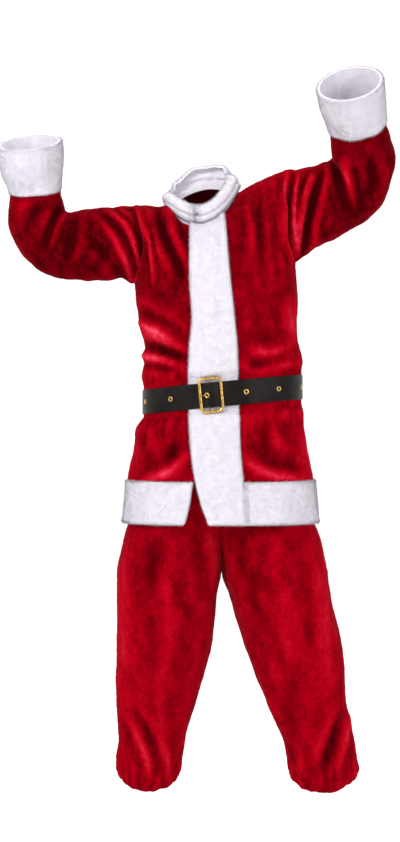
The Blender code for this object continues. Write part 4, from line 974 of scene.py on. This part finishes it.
# ---- jacket ---------------------------------------------------------------------------------
HEM_STEPS, YOKE_STEPS, CUFF_STEPS, SLEEVE_STEPS = 20, 56, 24, 92
SKIRT_ROWS, BELT_ROWS, CHEST_ROWS, COLLAR_ROWS = 36, 14, 56, 25
SHOULDER_STEPS, CHEST_STEPS, LAP_STEPS, BAND_STEPS, BACK_STEPS = 32, 16, 7, 16, 54
LAP_LEAST = 0.018       # the least width over which the band covers the right front
FLEECE_PRESSED, FLEECE_LOFT = 0.0004, 0.0025    # how much thinner by the belt, and fuller elsewhere
CUFF_LOFT, COLLAR_LOFT = 0.0035, 0.0015
CUFF_RIM_SHARE = 0.25   # of the cuff's folds that is left at its rim
LAP_HOLD = 0.45         # the least share of the lap's height at which the band stands above the hem
BODY_MIDDLE = np.array([0.043, 0.0, -0.40])


def line_at(column, h):
    return float(read(FRONT_LINES, column, h))


def front_columns(h):
    """The front's columns at one height, as s: the right front's, the band's, the left front's."""
    fixed = np.linspace(0, SHOULDER_SHARE, SHOULDER_STEPS + 1)
    band_right, band_left, edge = (line_at(k, h) for k in ("band_right", "band_left", "right_edge"))
    under, tail = s_at(min(band_right, edge - LAP_LEAST), h), s_at(edge, h)
    cover, seam = s_at(max(edge, band_right + LAP_LEAST), h), s_at(band_left, h)
    return dict(
        right=joined(fixed, np.linspace(fixed[-1], under, CHEST_STEPS),
                     np.linspace(under, tail, LAP_STEPS)),
        band=joined(np.linspace(s_at(band_right, h), cover, LAP_STEPS),
                    np.linspace(cover, seam, BAND_STEPS)),
        left=joined(np.linspace(seam, 1 - fixed[-1], CHEST_STEPS), 1 - fixed[::-1]),
        filler=np.linspace(tail, seam, BAND_STEPS),
    )


def back_columns():
    fixed = np.linspace(0, SHOULDER_SHARE, SHOULDER_STEPS + 1)
    return joined(fixed, np.linspace(fixed[-1], 1 - fixed[-1], BACK_STEPS), 1 - fixed[::-1])


def plush_wall(points):
    return np.full(len(points), PLUSH)


def fleece_wall(points):
    """The fleece stands fuller away from the belt, which presses it flat."""
    x, _, z = points.T
    free = eased((belt_distance(x, z) - 0.002) / 0.02)
    return mixed(FLEECE - FLEECE_PRESSED, FLEECE + FLEECE_LOFT, free)


def cuff_wall(cuff):
    """The cuff is turned back double, so it is thicker towards its rim."""
    rim = cuff.points[-1].mean(axis=0)
    base = cuff.points[0].mean(axis=0)

    def wall(points):
        share = (points - base) @ (rim - base) / ((rim - base) ** 2).sum()
        return FLEECE + CUFF_LOFT * eased(share * 1.4)

    return wall


def cuff_drape(points, normals):
    """The jacket's drape with the cuff's own soft upright folds."""
    drape, folds = jacket_drape(points, normals)
    return drape + 0.0035 * lumps(points, 0.032, 12, (1, 1, 0.35)), folds


def make_jacket(red, white):
    hem_rows = np.linspace(HEM, HEM_TOP, HEM_STEPS + 1)
    rows = joined(np.linspace(HEM_TOP, BELT_LOW, SKIRT_ROWS),
                  np.linspace(BELT_LOW, BELT_HIGH, BELT_ROWS),
                  np.linspace(BELT_HIGH, ARMPIT, CHEST_ROWS),
                  np.linspace(ARMPIT, ARMPIT + YOKE, YOKE_STEPS + 1))
    all_rows = joined(hem_rows, rows)
    columns = {h: front_columns(h) for h in all_rows}

    def front(part, heights):
        return [body(FRONT, columns[h][part], h) for h in heights]

    hem_grid = np.array([
        np.concatenate([body(FRONT, columns[h]["right"][::-1], h), body(BACK, back_columns(), h)[1:-1],
                        body(FRONT, columns[h]["left"][::-1], h)]) for h in hem_rows])
    band_grid = np.array(front("band", all_rows))
    right = Panel("jacket_front_right", front("right", rows), BODY_MIDDLE)
    left = Panel("jacket_front_left", front("left", rows), BODY_MIDDLE)
    back = Panel("jacket_back", [body(BACK, back_columns(), h) for h in rows], BODY_MIDDLE)
    # The filler closes the front under the band. It only lends its normals, and isn't built.
    filler = Panel("filler", front("filler", all_rows), BODY_MIDDLE)
    hem = Panel("hem_band", with_round_corner(hem_grid), BODY_MIDDLE * (1, 1, 0) + (0, 0, HEM))
    band = Panel("front_band", with_round_corner(band_grid), BODY_MIDDLE)
    psi = np.linspace(0, 2 * math.pi, 2 * YOKE_STEPS + 1)[:-1]
    sleeves, cuffs = [], []
    for side, word in ((RIGHT, "right"), (LEFT, "left")):
        rings = [sleeve_ring(side, share, psi) for share in np.linspace(0, 1, SLEEVE_STEPS + 1)]
        centre = np.mean(rings[SLEEVE_STEPS // 3:SLEEVE_STEPS * 2 // 3], axis=(0, 1))
        sleeves.append(Panel("sleeve_" + word, rings, centre, is_round=True))
        rings = [cuff_ring(side, share, psi) for share in np.linspace(0, 1, CUFF_STEPS + 1)]
        cuffs.append(Panel("cuff_" + word, rings, np.mean(rings, axis=(0, 1)), is_round=True))
    share_normals([right, left, back, filler, hem, *sleeves, *cuffs])
    # At its seam edge the band follows the left front and the hem band that it is sewn to.
    band.normals = unit(band.normals)
    band.normals[HEM_STEPS:, -1] = left.normals[:, 0]
    band.normals[:HEM_STEPS + 1, -1] = hem.normals[:, -1]
    for panel in (right, left, back, *sleeves):
        cloth(panel, jacket_drape, red, "red_plush", "draped", plush_wall, **PLUSH_EDGE)
    for panel in cuffs:       # their folds die away to the rim, which holds them
        soft = np.ones(panel.points.shape[:2]) * np.linspace(1, CUFF_RIM_SHARE, CUFF_STEPS + 1)[:, None]
        cloth(panel, cuff_drape, white, "white_fleece", "draped", cuff_wall(panel), **CUFF_EDGE,
              soft=soft)
    cloth(hem, jacket_drape, white, "white_fleece", "draped", fleece_wall, **FLEECE_EDGE,
          flush=len(hem_rows) + RIM_ROWS)
    # The band stands on the right front that it laps over, and comes down to the hem band's level.
    over = eased(np.linspace(1.7, 0.0, band.points.shape[1]))
    down = eased((all_rows - HEM_TOP) / 0.02)[:, None]
    cloth(band, jacket_drape, white, "white_fleece", "draped", fleece_wall, **FLEECE_EDGE,
          standoff=(PLUSH + LAP) * np.maximum(over, LAP_HOLD * down), flush=HEM_STEPS)
    return [hem, *cuffs, band]


def collar_wall(points):
    return np.full(len(points), FLEECE + COLLAR_LOFT)


def make_collar(white):
    """A strip that stands inside the neck seam, with its two ends at the band's free edge."""
    top = ARMPIT + YOKE
    columns, share = front_columns(top), SHOULDER_SHARE
    over_band = joined(columns["band"], columns["left"][columns["left"] <= 1 - share + 1e-9])
    to_band = columns["right"][:-1][columns["right"][:-1] >= share - 1e-9]
    back = back_columns()[::-1]
    back = back[(back > share + 1e-9) & (back < 1 - share - 1e-9)]
    loop = np.concatenate([body(FRONT, over_band, top), body(BACK, back, top), body(FRONT, to_band, top)])
    axis = np.array([NECK["x"], NECK["y"], 0.0])
    square = np.cross(np.gradient(loop, axis=0), [0.0, 0.0, 1.0])
    square *= np.sign(((loop - axis) * square).sum(axis=1, keepdims=True))
    square = unit(square)
    to_side = {side: np.clip(square[:, 0] * side, 0, 1) ** 2 for side in (RIGHT, LEFT)}
    height = COLLAR_HEIGHT * (1 - sum(COLLAR_LOW[side] * to_side[side] for side in (RIGHT, LEFT)))
    grid = []
    for up in np.linspace(0, 1, COLLAR_ROWS):
        lean = COLLAR_LEAN * to_side[LEFT] * max(up - COLLAR["share"][1], 0)
        row = loop + square * (read(COLLAR, "out", up) - COLLAR_GAP - FLEECE - lean)[:, None]
        row[:, 2] += height * up - 0.002
        grid.append(row)
    collar = Panel("collar", grid, axis + [0, 0, 0.03])
    collar.points[:, -1] += (collar.points[:, -2] - collar.points[:, -1]) * 0.05
    collar.normals = unit(collar.corner_normals(collar.points))

    def wrinkles(points, normals):
        lift = eased((points[:, 2] - (NECK["z"] + NECK["rise"] * points[:, 0])) / 0.03)
        rolls = 0.0036 * lumps(points, 0.026, 11, (0.6, 0.6, 1.5))
        roll = (rolls + 0.0018 * lumps(points, 0.010, 13)) * lift
        return roll, roll

    cloth(collar, wrinkles, white, "white_fleece", "draped", collar_wall, **COLLAR_EDGE)
    return collar


# ---- trousers -------------------------------------------------------------------------------
HIP_ROWS, LEG_ROWS, LEG_COLUMNS, CASING_ROWS, WAISTBAND_ROWS = 70, 100, 57, 4, 8


def make_trousers(red):
    waist = TROUSERS[RIGHT]["z"].max()
    ankle = TROUSERS[RIGHT]["z"].min() + LEG_CASING
    rows = joined(np.linspace(waist - WAISTBAND, CROTCH, HIP_ROWS),
                  np.linspace(CROTCH, ankle, LEG_ROWS))
    s = np.linspace(0, 1, LEG_COLUMNS)
    panels = []
    for side, side_word in ((RIGHT, "right"), (LEFT, "left")):
        middle = np.array([read(TROUSERS[side], "outer", CROTCH) / 2 + CROTCH_X / 2, 0.0, CROTCH])
        for face, face_word in ((FRONT, "front"), (BACK, "back")):
            grid = [trouser_point(side, face, s, z) for z in rows]
            panels.append(Panel(f"trouser_{face_word}_{side_word}", grid, middle))
    for side, word in ((RIGHT, "right"), (LEFT, "left")):
        rings = []
        for z in np.linspace(ankle, ankle - LEG_CASING, CASING_ROWS):
            front, back = (trouser_point(side, face, s, z) for face in (FRONT, BACK))
            rings.append(np.concatenate([front, back[-2:0:-1]]))
        panels.append(Panel("leg_casing_" + word, rings, np.mean(rings, axis=(0, 1)), is_round=True))
    rings = []
    for z in np.linspace(waist, waist - WAISTBAND, WAISTBAND_ROWS):
        front_r, back_r, front_l, back_l = (trouser_point(side, face, s, z)
                                            for side in (RIGHT, LEFT) for face in (FRONT, BACK))
        rings.append(np.concatenate([front_r, front_l[-2::-1], back_l[1:], back_r[-2:0:-1]]))
    panels.append(Panel("waistband", rings, np.mean(rings, axis=(0, 1)), is_round=True))
    share_normals(panels)
    for panel in panels:
        held = "gathered" if panel.is_round else "hung"
        cloth(panel, trouser_drape, red, "red_plush", held, plush_wall, **PLUSH_EDGE)


# ---- belt and buckle ------------------------------------------------------------------------
BEHIND_BAR = 0.008      # from the centre bar to where the strap lies on the cloth
AHEAD = 0.002           # the step along the strap that gives its direction at an eyelet
EYELET_HOLE, EYELET_TUBE, EYELET_FLANGE, EYELET_RIM = 0.0030, 0.0036, 0.0048, 0.0063
EYELET_BACK, EYELET_TOP = -0.0007, STRAP + 0.0005       # heights off the strap's back
EYELET_SIDES = 32


def belt_at(angle):
    """The belt's path on the jacket's inner face, at an angle in degrees from the front's middle
    towards the left: the point, and the directions outward, along and up the strap."""
    height = (BELT_LOW + BELT_HIGH) / 2

    def at(degrees, level=height):
        degrees = (degrees + 180) % 360 - 180
        if abs(degrees) <= 90:
            return ring(FRONT, np.array(0.5 + degrees / 180), level)
        return ring(BACK, np.array((1.5 - degrees / 180) % 2), level)

    along = unit(at(angle + 0.5) - at(angle - 0.5))
    outward = unit(np.cross(along, at(angle, height + 0.01) - at(angle, height - 0.01)))
    return at(angle), outward, along, np.cross(outward, along)


def strap_out(point, outer_turn):
    """How far the strap's inner side stands off the jacket's inner face."""
    x, y, _ = point
    low, high = (line_at(column, BELT_LOW) for column in ("band_right", "band_left"))
    on_band = eased((x - low + BAND_LEAD) / BAND_RAMP) * eased((high + BAND_LEAD - x) / BAND_RAMP)
    out = PLUSH + STRAP_GAP + (LAP + FLEECE) * (on_band if y < 0 else 0)
    return out + (read(OUTER_TURN, "off", x - BUCKLE_X) if outer_turn else 0)


def strap_path(angle_at):
    """The strap's middle line with the directions through it and up it: it wraps the centre bar,
    runs once round the waist to the left, and comes back over the bar to its free end."""
    bar, outward, along, up = belt_at(angle_at(BUCKLE_X))
    around = CENTRE_BAR_RADIUS + SEAM + STRAP / 2
    stations = []
    for turn in np.radians(range(30, 271, 15)):
        radial = along * math.cos(turn) + outward * math.sin(turn)
        stations.append((bar + outward * CENTRE_BAR_OUT + radial * around, -radial, up))
    # The free end's part is finer, from where the outer turn starts to lift off the inner one.
    start, end = angle_at(BUCKLE_X + BEHIND_BAR), 360 + angle_at(TIP_X)
    lift = 360 + angle_at(BUCKLE_X + OUTER_TURN["u"][0])
    for angle in joined(np.linspace(start, lift, 150), np.linspace(lift, end, 90)):
        point, outward, _, up = belt_at(angle)
        stations.append((point + outward * (strap_out(point, angle > 180) + STRAP / 2), outward, up))
    return [np.array(column) for column in zip(*stations)]


def strap_section():
    """The strap's outline across its width: a slight crown, pressed lines and rounded edges."""
    half, round_off = BELT_WIDTH / 2, 0.0008
    crown, press, press_in, press_reach = 0.0002, 0.0003, 0.0040, 0.0006
    t = np.linspace(-1, 1, 61)
    across = t * (half - round_off)
    lines = np.exp(-((np.abs(across) - half + press_in) / press_reach) ** 2)
    top = STRAP / 2 + crown * (1 - t ** 2) - press * lines
    turn = np.linspace(math.pi / 2, -math.pi / 2, 7)[1:-1]
    edge = stacked(half - round_off + round_off * np.cos(turn), STRAP / 2 * np.sin(turn), 0)[:, :2]
    low = stacked(across[::-6], -STRAP / 2, 0)[:, :2]
    return np.concatenate([stacked(across, top, 0)[:, :2], edge, low, edge[::-1] * (-1, 1)])


def tube(points, radius, flat_way, closed=False, flatten=1.0, sides=16):
    """Rings round a line that lies square to flat_way, thinner by flatten in that direction."""
    points = np.asarray(points, float)
    if closed:
        along = np.roll(points, -1, axis=0) - np.roll(points, 1, axis=0)
    else:
        along = np.gradient(points, axis=0)
    side = unit(np.cross(along, flat_way))
    turn = np.linspace(0, 2 * math.pi, sides + 1)[:-1, None]
    ring_out = np.cos(turn) * side[:, None] + flatten * np.sin(turn) * np.array(flat_way)
    return points[:, None] + radius * ring_out


def rings_mesh(name, *grids):
    """One mesh of closed rings; each grid comes with whether its last ring joins its first."""
    points, faces, start = [], [], 0
    for grid, is_loop in grids:
        rows, columns = grid.shape[:2]
        number = start + np.arange(rows * columns).reshape(rows, columns)
        here, there = number, np.roll(number, -1, axis=0)
        if not is_loop:
            here, there = number[:-1], number[1:]
        quads = np.stack([here, np.roll(here, -1, axis=1), np.roll(there, -1, axis=1), there], axis=-1)
        faces += quads.reshape(-1, 4).tolist()
        faces += [] if is_loop else [number[0].tolist(), number[-1].tolist()]
        points += grid.reshape(-1, 3).tolist()
        start += rows * columns
    return smooth_mesh(name, points, faces, 50)


def eyelet_rings(middle, along, across, out):
    """An eyelet's outline, spun: its back flange, its tube and its rounded front rim."""
    hole, rim, top = EYELET_HOLE, EYELET_RIM, EYELET_TOP
    inner_back = EYELET_BACK + 0.0002
    outline = [(hole, EYELET_BACK), (EYELET_FLANGE, EYELET_BACK), (EYELET_FLANGE, inner_back),
               (EYELET_TUBE, inner_back), (EYELET_TUBE, top), (rim, top),
               (rim - 0.0002, top + 0.0005), (rim - 0.0009, top + 0.0009),
               (rim - 0.0019, top + 0.0010), (hole + 0.0005, top + 0.0007), (hole, top + 0.0001)]
    r, high = np.array(outline).T[:, None, :, None]
    turn = np.linspace(0, 2 * math.pi, EYELET_SIDES + 1)[:-1, None, None]
    return middle + r * (np.cos(turn) * along + np.sin(turn) * across) + (high - STRAP / 2) * out


def make_strap(black, middle, out, up):
    section = strap_section()
    grid = middle[:, None] + up[:, None] * section[:, :1] + out[:, None] * section[:, 1:]
    tip = unit(middle[-1] - middle[-2]) * TIP_SLANT / BELT_WIDTH
    grid[-1] -= tip * section[:, :1]
    mesh = rings_mesh("belt_strap", (grid, False))
    add_piece("belt_leatherette", mesh, black, "black_leatherette", "belt_strap")


def make_eyelets(metal, middle, out):
    """The eyelets, a pitch apart along the strap, back from the one that the prong is through."""
    run = np.cumsum([0.0, *np.linalg.norm(np.diff(middle, axis=0), axis=1)])
    outer = [i for i in range(len(run) * 2 // 3, len(run)) if middle[i][1] < 0]
    by_buckle = np.interp(BUCKLE_X + EYELET_BY_BUCKLE, middle[outer, 0], run[outer])

    def along_strap(values, where):
        return np.array([np.interp(where, run, values[:, k]) for k in range(3)])

    eyelets = []
    first = by_buckle + EYELET_PITCH
    for number in range(int((first - COVERED) / EYELET_PITCH) + 1):
        where = first - EYELET_PITCH * number
        point = along_strap(middle, where)
        along = unit(along_strap(middle, where + AHEAD) - point)
        outward = along_strap(out, where)
        outward = unit(outward - np.dot(outward, along) * along)
        eyelets.append((eyelet_rings(point, along, np.cross(outward, along), outward), True))
    nodes = [f"eyelet_{number + 1:02d}" for number in range(len(eyelets))]
    add_piece("belt_eyelets", rings_mesh("eyelets", *eyelets), metal, "brass", *nodes)


def make_buckle(metal, angle_at):
    """The frame over the strap, the bar across its middle behind the strap, and the prong, which
    hooks round the bar and rests on the frame's right side."""
    origin, outward, along, upward = belt_at(angle_at(BUCKLE_X))
    axes = np.array([along, upward, outward])
    half_w, half_h, r = BUCKLE_WIDTH / 2, BUCKLE_HEIGHT / 2, BUCKLE_CORNER
    rim = [(cx * (half_w - r) + r * math.cos(a), cy * (half_h - r) + r * math.sin(a), FRAME_OUT)
           for quarter, (cx, cy) in enumerate(((1, 1), (-1, 1), (-1, -1), (1, -1)))
           for a in np.linspace(quarter, quarter + 1, 10) * math.pi / 2]
    reach, dip = half_h + BUCKLE_BAR * 0.3, BELT_WIDTH / 2 + 0.0015
    bar = [(0, -reach, FRAME_OUT), (0, -dip - 0.002, CENTRE_BAR_OUT),
           (0, dip + 0.002, CENTRE_BAR_OUT), (0, reach, FRAME_OUT)]
    frame_rings = tube(rim, BUCKLE_BAR, (0, 0, 1), closed=True, flatten=BUCKLE_FLATTEN)
    bar_rings = tube(bar, CENTRE_BAR_RADIUS, (1, 0, 0))
    mesh = rings_mesh("buckle_frame", (origin + frame_rings @ axes, True),
                      (origin + bar_rings @ axes, False))
    add_piece("buckle_casting", mesh, metal, "brass", "buckle_frame")
    around = CENTRE_BAR_RADIUS + SEAM + PRONG
    prong = [(around * math.cos(a), 0, CENTRE_BAR_OUT + around * math.sin(a))
             for a in np.radians(range(-60, 151, 15))]
    u = np.linspace(PRONG_LINE["u"][-1], PRONG_LINE["u"][0], 24)
    prong += [(x, 0, ON_BAND + out) for x, out in zip(u, read(PRONG_LINE, "out", u))]
    mesh = rings_mesh("buckle_prong", (origin + tube(prong, PRONG, (0, 1, 0), sides=12) @ axes, False))
    add_piece("buckle_tongue", mesh, metal, "brass", "buckle_prong")


def make_belt(black, metal):
    tries = np.linspace(-80, 80, 161)
    front_x = [belt_at(angle)[0][0] for angle in tries]

    def angle_at(x):
        return float(np.interp(x, front_x, tries))

    middle, out, up = strap_path(angle_at)
    make_strap(black, middle, out, up)
    make_eyelets(metal, middle, out)
    make_buckle(metal, angle_at)


# ---- pile -----------------------------------------------------------------------------------
PILE_LENGTH, PILE_HALF_WIDTH, PILE_ROOT = 0.0030, 0.00025, 0.001     # the root is inside the cloth
PILE_DENSITY, PILE_MOST = 1.25e6, 190000        # fibres to a square metre, and at most
PILE_SPREAD = 0.5
EDGE_LINES, EDGE_LONGER = 3, 2.0        # fibres within this many lines of an edge are longer


def make_pile(panel, finish, seed):
    """Loose fibres that stand out of a trim's outer side and edges, each one thin triangle."""
    count = min(int(panel.cut_size()[2] * PILE_DENSITY), PILE_MOST)
    draw = np.random.default_rng(seed)
    shown = panel.closed(panel.outer)
    normals = panel.closed(unit(panel.corner_normals(panel.outer)))
    across, back = shown[1:, 1:] - shown[:-1, :-1], shown[1:, :-1] - shown[:-1, 1:]
    area = np.linalg.norm(np.cross(across, back), axis=-1)
    cells = draw.choice(area.size, count, p=area.ravel() / area.sum())
    i, j = np.unravel_index(cells, area.shape)
    u, v = draw.random((2, count, 1))

    def at(values):
        low = mixed(values[i, j], values[i, j + 1], u)
        return mixed(low, mixed(values[i + 1, j], values[i + 1, j + 1], u), v)

    root, out = at(shown), unit(at(normals))
    way = unit(out + PILE_SPREAD * draw.normal(size=(count, 3)))
    at_edge = (i < EDGE_LINES) | (i >= area.shape[0] - EDGE_LINES)
    if not panel.is_round:
        at_edge |= (j < EDGE_LINES) | (j >= area.shape[1] - EDGE_LINES)
    longer = np.where(at_edge, EDGE_LONGER, 1.0)[:, None]
    reach = PILE_LENGTH * longer * draw.uniform(0.5, 1.0, (count, 1))
    way *= np.sign((way * out).sum(-1, keepdims=True)) * reach
    side = unit(np.cross(way, draw.normal(size=(count, 3)))) * PILE_HALF_WIDTH
    sunk = out * PILE_ROOT
    points = np.stack([root - side - sunk, root + side - sunk, root + way], axis=1)
    mesh = bpy.data.meshes.new(panel.name + "_pile")
    mesh.from_pydata(points.reshape(-1, 3).tolist(), [], np.arange(3 * count).reshape(-1, 3).tolist())
    mesh.shade_smooth()
    mesh.normals_split_custom_set_from_vertices(np.repeat(out, 3, axis=0).tolist())
    return add_piece(panel.name + "_pile", mesh, finish, "white_fleece")


# ---- the suit -------------------------------------------------------------------------------
red, white, black, metal = red_plush(), white_fleece(), leatherette(), brass()
fibre = fleece_fibre()
trims = make_jacket(red, white)
trims.append(make_collar(white))
make_trousers(red)
for number, trim in enumerate(trims):
    make_pile(trim, fibre, number)
make_belt(black, metal)
for sheet in SHEETS:
    piece = sheet.pop("obj")


# ---- floor, light and camera ----------------------------------------------------------------
FLOOR = -1.531
SWEEP = 14.0        # the floor's reach round the suit before it turns up into the backdrop
SWEEP_BEND, SWEEP_TOP = 2.0, 16.0


def make_floor():
    """A pale paper floor, spun round the suit, that turns up into a backdrop on every side."""
    bend = [(SWEEP + SWEEP_BEND * math.sin(a), FLOOR + SWEEP_BEND * (1 - math.cos(a)))
            for a in np.linspace(0, math.pi / 2, 13)]
    outline = [(0.0, FLOOR), *bend, (SWEEP + SWEEP_BEND, SWEEP_TOP)]
    around = np.linspace(0, 2 * math.pi, 65)[:-1]
    points = [(r * math.cos(a), r * math.sin(a), z) for a in around for r, z in outline]
    rows = len(outline)
    faces = [[(i * rows + j) % len(points), ((i + 1) * rows + j) % len(points),
              ((i + 1) * rows + j + 1) % len(points), (i * rows + j + 1) % len(points)]
             for i in range(len(around)) for j in range(rows - 1)]
    mesh = bpy.data.meshes.new("floor")
    mesh.from_pydata(points, [], faces)
    mesh.shade_smooth()
    paper, _, _ = new_material("pale_matt_paper", Base_Color=colour("#f8f8f8"), Roughness=0.9,
                               Emission_Color=colour("#ffffff"), Emission_Strength=0.26)
    mesh.materials.append(paper)
    return bpy.data.objects.new("floor", mesh)


floor = make_floor()
scene = bpy.context.scene
scene.collection.objects.link(floor)

scene.world = bpy.data.worlds.new("pale_studio")
scene.world.use_nodes = True
background = scene.world.node_tree.nodes["Background"]
background.inputs["Color"].default_value = colour("#ffffff")
background.inputs["Strength"].default_value = 0.50
scene.view_settings.view_transform = "Standard"

for name, place, aim, size, power in (
    ("key", (-2.0, -2.9, 1.5), (0.0, 0.0, -0.5), 1.1, 96.0),
    ("fill", (2.6, -2.6, 0.4), (0.0, 0.0, -0.6), 1.6, 34.0),
    ("top", (0.3, 0.8, 2.4), (0.0, 0.0, -0.4), 1.2, 60.0),
):
    lamp = bpy.data.lights.new(name, "AREA")
    lamp.shape, lamp.size, lamp.energy = "DISK", size, power
    light = bpy.data.objects.new(name, lamp)
    light.location = place
    light.rotation_euler = (Vector(aim) - Vector(place)).to_track_quat("-Z", "Y").to_euler()
    scene.collection.objects.link(light)

view = bpy.data.cameras.new("camera")
view.lens, view.sensor_width = 80.2, 36.0
camera = bpy.data.objects.new("camera", view)
camera.location = (-0.004, -4.5, -0.530)
camera.rotation_euler = (math.pi / 2, 0.0, 0.0)
scene.collection.objects.link(camera)
scene.camera = camera
